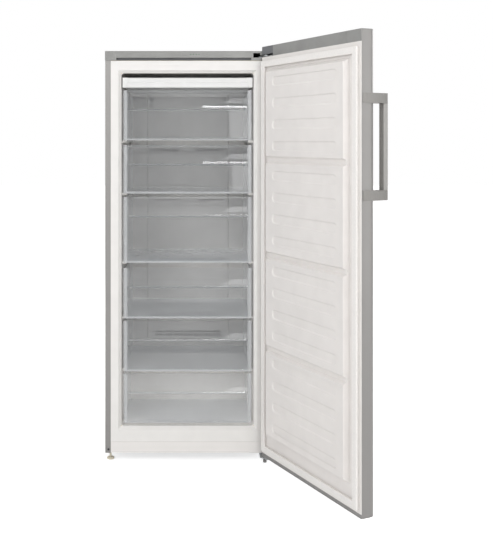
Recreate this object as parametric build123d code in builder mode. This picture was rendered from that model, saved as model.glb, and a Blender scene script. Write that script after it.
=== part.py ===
from build123d import *
import math
import os

# Upright freezer, millimetres.  +X is the right side seen from the front, +Y the back, +Z up.
# The origin lies on the floor, at the middle of the width, under the front plane of the cabinet.
# The door is drawn closed and swung open about its hinge pins when it is written.

os.makedirs("parts", exist_ok=True)

# ---- cabinet ----
cabinet_width = 600.0
cabinet_depth = 590.0
cabinet_base = 31.0
top_trim_height = 34.0
sheet = 0.8
steel_return = 20.0
rear_return = 15.0
base_sheet = 2.0
plug_radius = 3.0
plug_head_radius = 4.0
plug_head = 1.2
plug_rise = 13.0

# ---- drawer stack, from the lowest drawer up ----
throat_bottom = 126.0
drawer_heights = (180.0, 185.0, 185.0, 242.0, 178.0, 184.0)
drawer_gaps = (8.0, 9.0, 9.0, 19.0, 12.0, 17.0)
drawer_bottoms = [throat_bottom + sum(drawer_heights[:n]) + sum(drawer_gaps[:n + 1])
                  for n in range(len(drawer_heights))]
tray_gap = 10.0
tray_height = 36.0
tray_headroom = 16.0
tray_bottom = drawer_bottoms[-1] + drawer_heights[-1] + tray_gap

# ---- liner ----
wall_thickness = 58.0
roof_thickness = 80.0
rear_wall = 65.0
throat_width = cabinet_width - 2 * wall_thickness
throat_top = tray_bottom + tray_height + tray_headroom
throat_depth = cabinet_depth - rear_wall
cabinet_top = throat_top + roof_thickness
mouth_flare = 11.0
mouth_flare_depth = 12.0
liner_wall = 2.0
liner_corner = 10.0
flange_tuck = 6.0
plinth_height = 40.5
plinth_gap = 0.6
flange_seam_drop = 21.0
flange_seam = (1.2, 0.6)
step_gap = 7.0
step_wall = 46.0
bay_depth = 210.0
bay_wall = 50.0
step_top = drawer_bottoms[1] - step_gap
bay_top = step_top - step_wall
bay_front = cabinet_depth - bay_depth
step_front = bay_front - bay_wall
condenser_layer = 5.2

# ---- drawers ----
drawer_side_gap = 7.0
drawer_width = throat_width - 2 * drawer_side_gap
drawer_front_y = 18.0
drawer_wall = 2.2
fascia_depth = 14.0
stile_width = 14.0
stile_corner = 2.5
face_setback = 4.0
grip_height = 72.0
grip_hollow = 7.0
toe_reach = 3.0
toe_height = 5.0
lip_height = 6.0
bin_drop = 4.5
bin_corner = 6.0
bin_rim = 4.0
bin_floor_edge = 3.0
bin_rib = (300.0, 3.0, 2.0)
bin_rib_pitch = 14.0
bin_rib_count = 5
ledge_reach = 17.0
ledge_height = 8.0
ledge_setback = 28.0
slide_gap = 0.3
cover_gap = 2.0

# ---- top tray ----
tray_side_gap = 4.0
tray_width = throat_width - 2 * tray_side_gap
tray_wall = 2.2
tray_rim_reach = 9.0
tray_rim_drop = 6.0
tray_corner = 4.0
tray_end_top = 22.0
tray_end_foot = 12.0
tray_end_reach = 3.0

# ---- evaporator cover ----
chamber_depth = 89.0
cover_y = throat_depth - chamber_depth
cover_sheet = 3.0
cover_raise = 6.0
cover_margin = 78.0
cover_panel_width = throat_width - 2 * cover_margin
cover_panel_inset = 30.0
slot_height = 8.0

# ---- door ----
door_gap = 12.0
door_thickness = 52.0
door_bottom = 29.0
door_rise = 12.0
door_top = cabinet_top + door_rise
door_open_angle = 115.3
door_corner = 18.0
cap_plate = 3.0
top_cap_height = 38.0
bottom_cap_height = 13.0
relief_height = 22.0
relief_lap = 8.0
relief_foot = (throat_width, throat_bottom - relief_lap, throat_top + relief_lap)
relief_draft = 7.0
relief_end_draft = 12.0
divider_heights = (434.0, 765.0, 1102.0)
divider_width = 27.0
divider_depth = 12.0
divider_floor = 13.0
rim_crest = 4.0
rim_slope = 14.0
rim_drop = 3.0
rib_inset = 37.5
rib_length = throat_width - 2 * relief_draft - 2 * rib_inset
rib_width = 36.0
rib_depth = 3.0
rib_pitch = 75.5
ribs_per_panel = 4
gasket_inset = 11.5
gasket_width = 22.0
gasket_gap = 0.3

# ---- hinges ----
pin_from_side = 12.0
pin_from_face = 15.0
pin_diameter = 9.0
pin_clearance = 0.1
bush_wall = 2.5
bush_length = 30.0
bush_flange = 1.7
hinge_plate = 4.0
hinge_arm_width = 24.0
hinge_arm_rise = 12.0
hinge_arm_z = cabinet_top - top_trim_height + hinge_arm_rise
arm_root = 38.0
arm_knee = 14.0
cap_seam = (1.0, 0.6)
hinge_cap_length = 78.0
pocket_gap = 2.0

screw_radius = 2.5
screw_head_radius = 4.5
screw_head = 3.0
hinge_screw_y = 50.0
hinge_screw_xs = [cabinet_width / 2 - inset for inset in (62.0, 38.0, 14.0)]

# ---- handle ----
handle_length = 327.0
handle_bottom = 987.0
handle_mount_height = 31.0
handle_bar_width = 24.0
handle_bar_thickness = 16.0
handle_standoff = 31.0
handle_side_plate = 3.5
handle_screw_diameter = 5.0
handle_screw_bite = 12.0
handle_screw_depth = 20.0

# ---- feet and rollers ----
foot_diameter = 28.0
foot_height = 8.0
foot_stem = 8.0
foot_x = cabinet_width / 2 - 17.0
foot_y = 30.0
hinge_foot_diameter = 13.0
hinge_foot_x = cabinet_width / 2 - 19.0
hinge_foot_y = -8.0
roller_radius = 14.0
roller_width = 16.0
roller_x = cabinet_width / 2 - 60.0
roller_y = cabinet_depth - 45.0
axle_diameter = 6.0
stem_clearance = 0.05

half_width = cabinet_width / 2
shell_top = cabinet_top - top_trim_height
throat_half = throat_width / 2
pin_x = half_width - pin_from_side
pin_y = -door_gap - pin_from_face
door_inner_y = -door_gap
door_outer_y = -door_gap - door_thickness
hinge_axis = Axis((pin_x, pin_y, 0), (0, 0, 1))


def keep(piece, name):
    """Label a finished piece and write it."""
    piece.label = name
    export_step(piece, f"parts/{name}.step")


def keep_on_door(piece, name):
    """Swing a door piece open about the hinge pins, then write it."""
    keep(piece.rotate(hinge_axis, door_open_angle), name)


def span_box(x, y, z, mode=Mode.ADD):
    """A box between two values along each axis."""
    with Locations(((x[0] + x[1]) / 2, (y[0] + y[1]) / 2, (z[0] + z[1]) / 2)):
        Box(x[1] - x[0], y[1] - y[0], z[1] - z[0], mode=mode)


def inward(y):
    """A plane that looks towards +Y, with its own y axis up."""
    return Plane(origin=(0, y, 0), x_dir=(-1, 0, 0), z_dir=(0, 1, 0))


# ================= cabinet shell =================
with BuildPart() as cabinet_shell:
    span_box((-half_width, half_width), (0, cabinet_depth), (cabinet_base, shell_top))
    inner = half_width - sheet
    span_box((-inner, inner), (sheet, cabinet_depth - sheet), (cabinet_base - 1, shell_top - sheet),
             mode=Mode.SUBTRACT)
    front = half_width - steel_return
    span_box((-front, front), (-1, sheet * 2), (cabinet_base - 1, shell_top - sheet), mode=Mode.SUBTRACT)
    rear = half_width - rear_return
    span_box((-rear, rear), (cabinet_depth - sheet * 2, cabinet_depth + 1),
             (cabinet_base - 1, shell_top - rear_return), mode=Mode.SUBTRACT)
    plug_z = cabinet_base + plug_rise
    plug_x = half_width - steel_return * 0.6
    with BuildSketch(inward(-1)):
        with Locations((plug_x, plug_z), (-plug_x, plug_z)):
            Circle(plug_radius)
    extrude(amount=sheet + 1, mode=Mode.SUBTRACT)
    with BuildSketch(Plane.XY.offset(shell_top + 1)):
        with Locations(*[(x, hinge_screw_y) for x in hinge_screw_xs]):
            Circle(screw_radius)
    extrude(amount=-sheet - 2, mode=Mode.SUBTRACT)
keep(cabinet_shell.part, "cabinet_shell")

with BuildPart() as hinge_hole_plugs:
    with BuildSketch(inward(-plug_head)):
        with Locations((plug_x, plug_z), (-plug_x, plug_z)):
            Circle(plug_head_radius)
    extrude(amount=plug_head)
    with BuildSketch(inward(0)):
        with Locations((plug_x, plug_z), (-plug_x, plug_z)):
            Circle(plug_radius)
    extrude(amount=sheet)
keep(hinge_hole_plugs.part, "hinge_hole_plugs")

back_y = cabinet_depth - sheet
with BuildPart() as back_panel:
    span_box((-inner, inner), (back_y - sheet, back_y), (bay_top, shell_top - sheet))
keep(back_panel.part, "back_panel")


# ================= liner =================
def liner_form(skin):
    """The room inside the liner, grown by skin all round."""
    half = throat_half + skin
    low = throat_bottom - skin
    high = throat_top + skin
    step_y = step_front + skin
    back = throat_depth + skin
    with BuildPart() as form:
        with BuildSketch(Plane.YZ.offset(-half)):
            with BuildLine():
                Polyline((-1, low), (step_y, low), (step_y, step_top - skin), (back, step_top - skin),
                         (back, high), (-1, high), close=True)
            make_face()
        extrude(amount=2 * half)
        along = form.edges().filter_by(Axis.Y).filter_by(lambda e: e.center().Z > step_top + 1
                                                         or e.center().Z < step_top - 5 - skin)
        fillet(along, radius=liner_corner + skin)
        with BuildSketch(inward(0)):
            with Locations((0, (low + high) / 2)):
                Rectangle(2 * (half + mouth_flare), high - low + 2 * mouth_flare)
        with BuildSketch(inward(mouth_flare_depth)):
            with Locations((0, (low + high) / 2)):
                Rectangle(2 * half, high - low)
        loft()
        with BuildSketch(inward(-1)):
            with Locations((0, (low + high) / 2)):
                Rectangle(2 * (half + mouth_flare), high - low + 2 * mouth_flare)
        extrude(amount=1)
    return form.part


flange_y = sheet
plinth_top = cabinet_base + plinth_height
flange_half = half_width - steel_return + flange_tuck
drawer_half = drawer_width / 2
ledge_x = throat_half - ledge_reach
drawer_back_y = cover_y - cover_raise - cover_gap
ledge_start = drawer_front_y + fascia_depth + ledge_setback
floor_runner_x = throat_half - 62.0
drain_diameter = 16.0
drain_bore = 7.0
drain_x = 60.0
evaporator_y = cover_y + 47.0
drain_y = evaporator_y + 7.0
flange_seam_z = shell_top - flange_seam_drop
with BuildPart() as liner:
    add(liner_form(liner_wall))
    span_box((-flange_half, flange_half), (flange_y, flange_y + liner_wall),
             (plinth_top, shell_top - sheet - 1))
    add(liner_form(0), mode=Mode.SUBTRACT)
    span_box((-half_width, half_width), (-2, flange_y), (0, cabinet_top), mode=Mode.SUBTRACT)
    span_box((-half_width, half_width), (flange_y - 1, flange_y + flange_seam[1]),
             (flange_seam_z, flange_seam_z + flange_seam[0]), mode=Mode.SUBTRACT)
    for side in (-1, 1):
        wall_x = side * throat_half
        tip_x = side * ledge_x
        span = (min(wall_x, tip_x), max(wall_x, tip_x))
        for bottom in drawer_bottoms[1:]:
            span_box(span, (ledge_start, drawer_back_y), (bottom - ledge_height, bottom))
        outer = side * (throat_half - liner_corner * 0.6)
        runner = side * floor_runner_x
        span_box((min(outer, runner), max(outer, runner)), (ledge_start, step_front),
                 (throat_bottom, drawer_bottoms[0]))
        tray_tip = side * (throat_half - tray_rim_reach)
        tray_ledge_z = tray_bottom + tray_height - tray_rim_drop
        span_box((min(wall_x, tray_tip), max(wall_x, tray_tip)), (ledge_start, drawer_back_y),
                 (tray_ledge_z - ledge_height, tray_ledge_z))
    with BuildSketch(Plane.XY.offset(step_top - liner_wall - 1)):
        with Locations((drain_x, drain_y)):
            Circle(drain_diameter / 2)
    extrude(amount=liner_wall + 2, mode=Mode.SUBTRACT)
keep(liner.part, "liner")

# ================= insulation =================
foam_inner = half_width - sheet
with BuildPart() as cabinet_foam:
    span_box((-foam_inner, foam_inner), (flange_y + liner_wall, back_y - sheet - condenser_layer),
             (cabinet_base + base_sheet, shell_top - sheet))
    add(liner_form(liner_wall), mode=Mode.SUBTRACT)
    span_box((-foam_inner - 1, foam_inner + 1), (bay_front, cabinet_depth),
             (cabinet_base, bay_top), mode=Mode.SUBTRACT)
    with BuildSketch(Plane.XY.offset(bay_top - 1)):
        with Locations((drain_x, drain_y)):
            Circle(drain_diameter / 2)
    extrude(amount=step_top - bay_top, mode=Mode.SUBTRACT)
    with BuildSketch(Plane.XY.offset(cabinet_base)):
        with Locations((-foot_x, foot_y)):
            Circle(foot_stem)
    extrude(amount=base_sheet + foot_stem * 3, mode=Mode.SUBTRACT)
keep(cabinet_foam.part, "cabinet_foam")

# ================= base =================
ear = 2.0
ear_gap = 0.5
with BuildPart() as base_pan:
    span_box((-foam_inner, foam_inner), (flange_y + liner_wall, back_y - sheet),
             (cabinet_base, cabinet_base + base_sheet))
    for side in (-1, 1):
        for edge in (-1, 1):
            ear_x = side * roller_x + edge * (roller_width / 2 + ear_gap + ear / 2)
            with BuildSketch(Plane.YZ.offset(ear_x - ear / 2)):
                with BuildLine():
                    Polyline((roller_y - roller_radius, cabinet_base),
                             (roller_y - axle_diameter, roller_radius - axle_diameter),
                             (roller_y + axle_diameter, roller_radius - axle_diameter),
                             (roller_y + roller_radius, cabinet_base), close=True)
                make_face()
                with Locations((roller_y, roller_radius)):
                    Circle(axle_diameter / 2 + pin_clearance, mode=Mode.SUBTRACT)
            extrude(amount=ear)
    with BuildSketch(Plane.XY.offset(cabinet_base + base_sheet)):
        with Locations((-foot_x, foot_y)):
            RegularPolygon(foot_stem * 0.8, 6)
    extrude(amount=foot_stem)
    with BuildSketch(Plane.XY.offset(cabinet_base - 1)):
        with Locations((-foot_x, foot_y)):
            Circle(foot_stem / 2 + stem_clearance)
        with Locations(*[(x, hinge_screw_y) for x in hinge_screw_xs]):
            Circle(screw_radius)
    extrude(amount=base_sheet + foot_stem + 2, mode=Mode.SUBTRACT)
keep(base_pan.part, "base_pan")

with BuildPart() as foot_left:
    with BuildSketch(Plane.XZ.offset(-foot_y)):
        with BuildLine():
            Polyline((-foot_x, 0), (-foot_x + foot_diameter / 2 - 1.5, 0), (-foot_x + foot_diameter / 2, 2),
                     (-foot_x + foot_diameter / 2, foot_height - 2),
                     (-foot_x + foot_diameter / 2 - 3, foot_height), (-foot_x + foot_stem / 2, foot_height),
                     (-foot_x + foot_stem / 2, cabinet_base + base_sheet + foot_stem * 2),
                     (-foot_x, cabinet_base + base_sheet + foot_stem * 2), close=True)
        make_face()
    revolve(axis=Axis((-foot_x, foot_y, 0), (0, 0, 1)))
keep(foot_left.part, "foot_left")

for name, side in (("roller_left", -1), ("roller_right", 1)):
    with BuildPart() as roller:
        with BuildSketch(Plane.YZ.offset(side * roller_x - roller_width / 2)):
            with Locations((roller_y, roller_radius)):
                Circle(roller_radius)
        extrude(amount=roller_width)
        chamfer(roller.edges().filter_by(GeomType.CIRCLE), length=1.5)
        reach = roller_width / 2 + ear_gap + ear + 1
        with BuildSketch(Plane.YZ.offset(side * roller_x - reach)):
            with Locations((roller_y, roller_radius)):
                Circle(axle_diameter / 2)
        extrude(amount=2 * reach)
    keep(roller.part, name)

with BuildPart() as plinth:
    plinth_half = half_width - steel_return - slide_gap
    span_box((-plinth_half, plinth_half), (flange_y, flange_y + liner_wall),
             (cabinet_base, plinth_top - plinth_gap))
    fillet(plinth.edges().filter_by(Axis.X).group_by(Axis.Y)[0].sort_by(Axis.Z)[-1:], radius=1)
keep(plinth.part, "plinth")

# ================= drawers =================
def drawer_bin(bottom, height, back):
    """A clear tub: thin walls, a rolled top edge and cross ribs in its floor."""
    front_y = drawer_front_y + fascia_depth
    middle_y = (front_y + back) / 2
    low = bottom + slide_gap
    high = bottom + height - bin_drop
    inner_corner = bin_corner - drawer_wall
    with BuildPart() as tub:
        with BuildSketch(Plane.XY.offset(low)):
            with Locations((0, middle_y)):
                Rectangle(drawer_width - 2 * bin_rim, back - front_y)
        extrude(amount=high - low)
        fillet(tub.edges().filter_by(Axis.Z), radius=bin_corner)
        chamfer(tub.faces().sort_by(Axis.Z)[0].edges(), length=bin_floor_edge)
        offset(amount=-drawer_wall, openings=tub.faces().sort_by(Axis.Z)[-1])
        with BuildSketch(Plane.XY.offset(high - drawer_wall)):
            with Locations((0, middle_y)):
                RectangleRounded(drawer_width, back - front_y, bin_corner)
                RectangleRounded(drawer_width - 2 * bin_rim - 2 * drawer_wall,
                                 back - front_y - 2 * drawer_wall, inner_corner, mode=Mode.SUBTRACT)
        extrude(amount=drawer_wall)
        rib_length, rib_thick, rib_high = bin_rib
        for step in range(bin_rib_count):
            rib_y = front_y + 30 + step * bin_rib_pitch
            span_box((-rib_length / 2, rib_length / 2), (rib_y, rib_y + rib_thick),
                     (low + drawer_wall, low + drawer_wall + rib_high))
    return tub.part


def drawer_front(bottom, height):
    """The clear front: two stiles, a flat lower panel, and a hollowed grip below its top edge."""
    low = bottom + slide_gap
    high = bottom + height
    knee = high - grip_height
    face = drawer_front_y + face_setback
    back = drawer_front_y + fascia_depth
    hollow_y = face + grip_hollow
    hollow_z = knee + grip_height * 0.55
    brow_y = face + 2
    with BuildPart() as front:
        with BuildSketch(Plane.YZ.offset(-drawer_half + stile_width)):
            with BuildLine():
                Polyline((back, low), (face - toe_reach, low), (face - toe_reach, low + toe_height),
                         (face, low + toe_height + toe_reach), (face, knee - toe_reach),
                         (face - toe_reach, knee), (face, knee + toe_reach))
                ThreePointArc((face, knee + toe_reach), (hollow_y, hollow_z), (brow_y, high - lip_height))
                Polyline((brow_y, high - lip_height), (face - 1, high), (face + toe_reach, high),
                         (brow_y + drawer_wall, high - lip_height + 1))
                ThreePointArc((brow_y + drawer_wall, high - lip_height + 1),
                              (hollow_y + drawer_wall, hollow_z), (face + drawer_wall, knee + 2))
                Polyline((face + drawer_wall, knee + 2), (face + drawer_wall, low + drawer_wall),
                         (back, low + drawer_wall), (back, low))
            make_face()
        extrude(amount=2 * (drawer_half - stile_width))
        for side in (-1, 1):
            x_edge = side * drawer_half
            x_inner = side * (drawer_half - stile_width)
            with BuildSketch(Plane.XY.offset(low)):
                with Locations(((x_edge + x_inner) / 2, (drawer_front_y + back) / 2)):
                    RectangleRounded(stile_width, fascia_depth, stile_corner)
            extrude(amount=high - low)
            x_lap = x_inner - side * 2
            span_box((min(x_lap, x_inner), max(x_lap, x_inner)), (face, face + drawer_wall + 2),
                     (low, high - lip_height - 2))
    return front.part


for number, (bottom, height) in enumerate(zip(reversed(drawer_bottoms), reversed(drawer_heights)), start=1):
    back = min(drawer_back_y, step_front - 8) if bottom < step_top else drawer_back_y
    keep(drawer_bin(bottom, height, back), f"drawer_{number}_bin")
    keep(drawer_front(bottom, height), f"drawer_{number}_front")

tray_half = tray_width / 2
with BuildPart() as top_tray:
    tray_high = tray_bottom + tray_height
    body_half = throat_half - tray_rim_reach - 4
    rim_z = tray_high - tray_rim_drop + slide_gap
    with BuildSketch(Plane.XY.offset(tray_bottom)):
        with Locations((0, (drawer_front_y + 8 + drawer_back_y) / 2)):
            Rectangle(2 * body_half, drawer_back_y - drawer_front_y - 8)
    extrude(amount=rim_z + tray_wall - tray_bottom)
    fillet(top_tray.edges().filter_by(Axis.Z), radius=tray_corner)
    offset(amount=-tray_wall, openings=top_tray.faces().sort_by(Axis.Z)[-1])
    span_box((-tray_half, tray_half), (drawer_front_y + tray_corner, drawer_back_y),
             (rim_z, rim_z + tray_wall))
    span_box((-body_half + tray_wall, body_half - tray_wall), (drawer_front_y, drawer_back_y - tray_wall),
             (rim_z - 1, rim_z + tray_wall + 1), mode=Mode.SUBTRACT)
    with BuildSketch(Plane.YZ.offset(-tray_half)):
        with BuildLine():
            Polyline((drawer_front_y + 10, tray_bottom), (drawer_front_y + 2, tray_bottom),
                     (drawer_front_y, tray_bottom + 3), (drawer_front_y, tray_bottom + 18),
                     (drawer_front_y + 3, tray_bottom + 20), (drawer_front_y + 3, tray_high - 3),
                     (drawer_front_y + 5, tray_high), (drawer_front_y + 10, tray_high), close=True)
        make_face()
    extrude(amount=tray_width)
    with BuildSketch(inward(drawer_front_y - tray_end_reach)):
        for side in (-1, 1):
            with BuildLine():
                Polyline((side * tray_half, tray_bottom), (side * (tray_half - tray_end_foot), tray_bottom),
                         (side * (tray_half - tray_end_top), tray_high), (side * tray_half, tray_high),
                         close=True)
            make_face()
    extrude(amount=tray_end_reach + 8)
keep(top_tray.part, "top_tray")

# ================= evaporator cover and what is behind it =================
cover_half = throat_half - 3
cover_middle = (step_top + throat_top) / 2
panel_half = cover_panel_width / 2
panel_height = throat_top - step_top - 2 * cover_panel_inset
side_vents = ((throat_top - 75.0, 22.0), (throat_top - 105.5, 12.0))
air_slots = (1131.0, 928.0, 672.0, 478.0)
with BuildPart() as evaporator_cover:
    span_box((-cover_half, cover_half), (cover_y, cover_y + cover_sheet),
             (step_top + slide_gap, throat_top - 4))
    with BuildSketch(inward(cover_y - cover_raise)):
        with Locations((0, cover_middle)):
            Rectangle(cover_panel_width, panel_height)
    with BuildSketch(inward(cover_y)):
        with Locations((0, cover_middle)):
            Rectangle(cover_panel_width + slot_height, panel_height + slot_height)
    loft()
    span_box((-panel_half + 4, panel_half - 4),
             (cover_y - cover_raise + cover_sheet, cover_y + cover_sheet + 1),
             (cover_middle - panel_height / 2 + 4, cover_middle + panel_height / 2 - 4), mode=Mode.SUBTRACT)
    with BuildSketch(inward(cover_y - cover_raise - 1)):
        for side in (-1, 1):
            for vent_z, vent_height in side_vents:
                with Locations((side * (panel_half + 38), vent_z)):
                    with GridLocations(10, 1, 5, 1):
                        Rectangle(6.4, vent_height)
                with Locations((side * (panel_half - 14), vent_z)):
                    Rectangle(16, vent_height)
            for slot_z in air_slots:
                with Locations((side * 90, slot_z)):
                    Rectangle(110, slot_height)
        with Locations((0, step_top + 60)):
            with GridLocations(40, 14, 7, 2):
                Rectangle(32, slot_height)
    extrude(amount=cover_raise + cover_sheet + 2, mode=Mode.SUBTRACT)
keep(evaporator_cover.part, "evaporator_cover")

fan_z = 1240.0
fan_radius = 52.0
fan_y = cover_y + 34.0
shaft_radius = 3.0
hub_radius = 14.0
hub_depth = 20.0
fan_frame_y = fan_y + 22
with BuildPart() as fan_frame:
    span_box((-75, 75), (fan_frame_y, fan_frame_y + 3), (fan_z - 75, fan_z + 75))
    with BuildSketch(inward(fan_frame_y - 1)):
        with Locations((0, fan_z)):
            Circle(fan_radius + 4)
            Circle(18, mode=Mode.SUBTRACT)
        with Locations((0, fan_z)):
            Rectangle(2 * fan_radius + 20, 8, mode=Mode.SUBTRACT)
            Rectangle(8, 2 * fan_radius + 20, mode=Mode.SUBTRACT)
            Circle(shaft_radius)
    extrude(amount=5, mode=Mode.SUBTRACT)
    for side in (-1, 1):
        span_box((side * 68 - 7, side * 68 + 7), (cover_y + cover_sheet, fan_frame_y + 3),
                 (fan_z - 12, fan_z + 12))
keep(fan_frame.part, "fan_frame")

with BuildPart() as fan_motor:
    with BuildSketch(inward(fan_frame_y + 3)):
        with Locations((0, fan_z)):
            Circle(22)
    extrude(amount=throat_depth - fan_frame_y - 3)
    with BuildSketch(inward(fan_y - 8)):
        with Locations((0, fan_z)):
            Circle(shaft_radius)
    extrude(amount=fan_frame_y + 3 - fan_y + 8)
keep(fan_motor.part, "fan_motor")

blade_count = 5
blade_chord = 24.0
blade_sheet = 2.0
blade_pitch = 45.0
with BuildPart() as fan_blade:
    with BuildSketch(inward(fan_y - hub_depth / 2)):
        with Locations((0, fan_z)):
            Circle(hub_radius)
            Circle(shaft_radius + pin_clearance, mode=Mode.SUBTRACT)
    extrude(amount=hub_depth)
    for blade in range(blade_count):
        turn = blade * 2 * math.pi / blade_count
        root = Plane(origin=(0, fan_y, fan_z), x_dir=(0, 1, 0), z_dir=(math.sin(turn), 0, math.cos(turn)))
        with BuildSketch(root.offset(hub_radius - 2)):
            Rectangle(blade_chord, blade_sheet, rotation=blade_pitch)
        extrude(amount=fan_radius - hub_radius)
keep(fan_blade.part, "fan_blade")

fin_count = 12
evaporator_span = throat_width - 124.0
evaporator_low = 420.0
evaporator_high = 640.0
tube_rows = 4
tube_pitch = 50.0
tube_sides = 6
with BuildPart() as evaporator:
    with Locations((0, evaporator_y, (evaporator_low + evaporator_high) / 2)):
        with GridLocations(evaporator_span / (fin_count - 1), 1, fin_count, 1):
            Box(1.2, 56, evaporator_high - evaporator_low)
    for side in (-1, 1):
        end_x = side * evaporator_span / 2
        span_box((end_x - 1, end_x + 1), (evaporator_y, throat_depth), (evaporator_low, evaporator_high))
    for row in range(tube_rows):
        row_z = evaporator_low + 30 + row * tube_pitch
        with BuildSketch(Plane.YZ.offset(-evaporator_span / 2 - 1)):
            with Locations((evaporator_y, row_z)):
                RegularPolygon(4.5, tube_sides)
        extrude(amount=evaporator_span + 2)
    for row in range(tube_rows - 1):
        side = 1 if row % 2 == 0 else -1
        row_z = evaporator_low + 30 + row * tube_pitch
        end_x = side * (evaporator_span / 2 + 1)
        with BuildSketch(Plane.YZ.offset(end_x)):
            with Locations((evaporator_y, row_z)):
                RegularPolygon(4.5, tube_sides)
        revolve(axis=Axis((end_x, evaporator_y, row_z + tube_pitch / 2), (0, -side, 0)), revolution_arc=180)
keep(evaporator.part, "evaporator")

heater_z = evaporator_low - 26
heater_bracket_x = evaporator_span / 2 - evaporator_span / (fin_count - 1)
heater_half = evaporator_span / 2 - 10.0
with BuildPart() as defrost_heater:
    with BuildSketch(Plane.YZ.offset(-heater_half)):
        with Locations((evaporator_y, heater_z)):
            Circle(5)
    extrude(amount=2 * heater_half)
    for side in (-1, 1):
        bracket_x = side * heater_bracket_x
        span_box((bracket_x - 1, bracket_x + 1), (evaporator_y - 8, evaporator_y + 8),
                 (heater_z - 8, evaporator_low))
keep(defrost_heater.part, "defrost_heater")

trough_low = step_top + slide_gap
trough_margin = 27.0
trough_depth = 70.0
trough_height = 22.0
trough_corner = 8.0
pan_bottom = 205.3
with BuildPart() as drain_trough:
    with BuildSketch(Plane.XY.offset(trough_low)):
        with Locations((0, evaporator_y)):
            RectangleRounded(throat_width - 2 * trough_margin, trough_depth, trough_corner)
    extrude(amount=trough_height)
    offset(amount=-2, openings=drain_trough.faces().sort_by(Axis.Z)[-1])
    with BuildSketch(Plane.XY.offset(pan_bottom + 35)):
        with Locations((drain_x, drain_y)):
            Circle(drain_diameter / 2 - pin_clearance)
    extrude(amount=trough_low + 1 - pan_bottom - 35)
    with BuildSketch(Plane.XY.offset(pan_bottom + 34)):
        with Locations((drain_x, drain_y)):
            Circle(drain_bore / 2)
    extrude(amount=trough_low + 4 - pan_bottom - 34, mode=Mode.SUBTRACT)
keep(drain_trough.part, "drain_trough")

# ================= compressor bay =================
compressor_x = half_width - 150.0
compressor_y = cabinet_depth - 104.0
compressor_radius = 72.0
floor_z = cabinet_base + base_sheet
grommet_height = 14.0
mount_z = floor_z + grommet_height
with BuildPart() as compressor_grommets:
    with BuildSketch(Plane.XY.offset(floor_z)):
        with Locations((compressor_x, compressor_y)):
            with GridLocations(130, 96, 2, 2):
                Circle(10)
    extrude(amount=grommet_height)
keep(compressor_grommets.part, "compressor_grommets")

with BuildPart() as compressor:
    with BuildSketch(Plane.XY.offset(mount_z)):
        with Locations((compressor_x, compressor_y)):
            RectangleRounded(156, 122, 12)
    extrude(amount=3)
    seam_z = mount_z + 80
    dome_top = pan_bottom - slide_gap
    side_x = compressor_x + compressor_radius
    with BuildSketch(Plane.XZ.offset(-compressor_y)) as shell_plan:
        with BuildLine():
            Polyline((compressor_x, mount_z + 1), (side_x, mount_z + 1), (side_x, seam_z),
                     (side_x + 3, seam_z), (side_x + 3, seam_z + 5), (side_x - 2, seam_z + 5),
                     (side_x - 2, dome_top), (compressor_x, dome_top), close=True)
        make_face()
        outer_corners = shell_plan.vertices().filter_by(lambda v: v.X > compressor_x + 1)
        chamfer(outer_corners.sort_by(Axis.Y)[0], length=18)
        chamfer(outer_corners.sort_by(Axis.Y)[-1], length=26)
    revolve(axis=Axis((compressor_x, compressor_y, 0), (0, 0, 1)))
    relay_x = compressor_x - compressor_radius + 10
    span_box((relay_x - 42, relay_x), (compressor_y - 22, compressor_y + 22), (mount_z + 22, mount_z + 72))
keep(compressor.part, "compressor")

pan_width = 190.0
pan_depth = 120.0
pan_height = 30.0
pan_corner = 14.0
with BuildPart() as evaporating_pan:
    with BuildSketch(Plane.XY.offset(pan_bottom)):
        with Locations((compressor_x - 10, compressor_y)):
            RectangleRounded(pan_width, pan_depth, pan_corner)
    extrude(amount=pan_height)
    offset(amount=-2, openings=evaporating_pan.faces().sort_by(Axis.Z)[-1])
keep(evaporating_pan.part, "evaporating_pan")

tube_radius = 2.5
condenser_y = back_y - sheet - condenser_layer / 2
condenser_rows = 6
condenser_half = half_width - 50.0
condenser_low = 330.0
condenser_pitch = 196.0
condenser_points = []
for row in range(condenser_rows):
    row_z = condenser_low + row * condenser_pitch
    side = 1 if row % 2 == 0 else -1
    condenser_points.append((side * condenser_half, condenser_y, row_z))
    condenser_points.append((-side * condenser_half, condenser_y, row_z))
with BuildPart() as condenser:
    with BuildLine():
        FilletPolyline(*condenser_points, radius=20)
    with BuildSketch(Plane(origin=condenser_points[0], z_dir=(-1, 0, 0))):
        RegularPolygon(tube_radius, tube_sides)
    sweep(transition=Transition.RIGHT)
keep(condenser.part, "condenser")

drier_radius = 10.0
drier_x = -60.0
drier_y = cabinet_depth - 50.0

def pipe(points, bend):
    """A copper tube along straight runs joined by bends."""
    with BuildPart() as tube:
        with BuildLine():
            FilletPolyline(*points, radius=bend)
        start = Vector(*points[0])
        with BuildSketch(Plane(origin=start, z_dir=Vector(*points[1]) - start)):
            RegularPolygon(tube_radius + 0.5, tube_sides)
        sweep(transition=Transition.RIGHT)
    return tube.part


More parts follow.
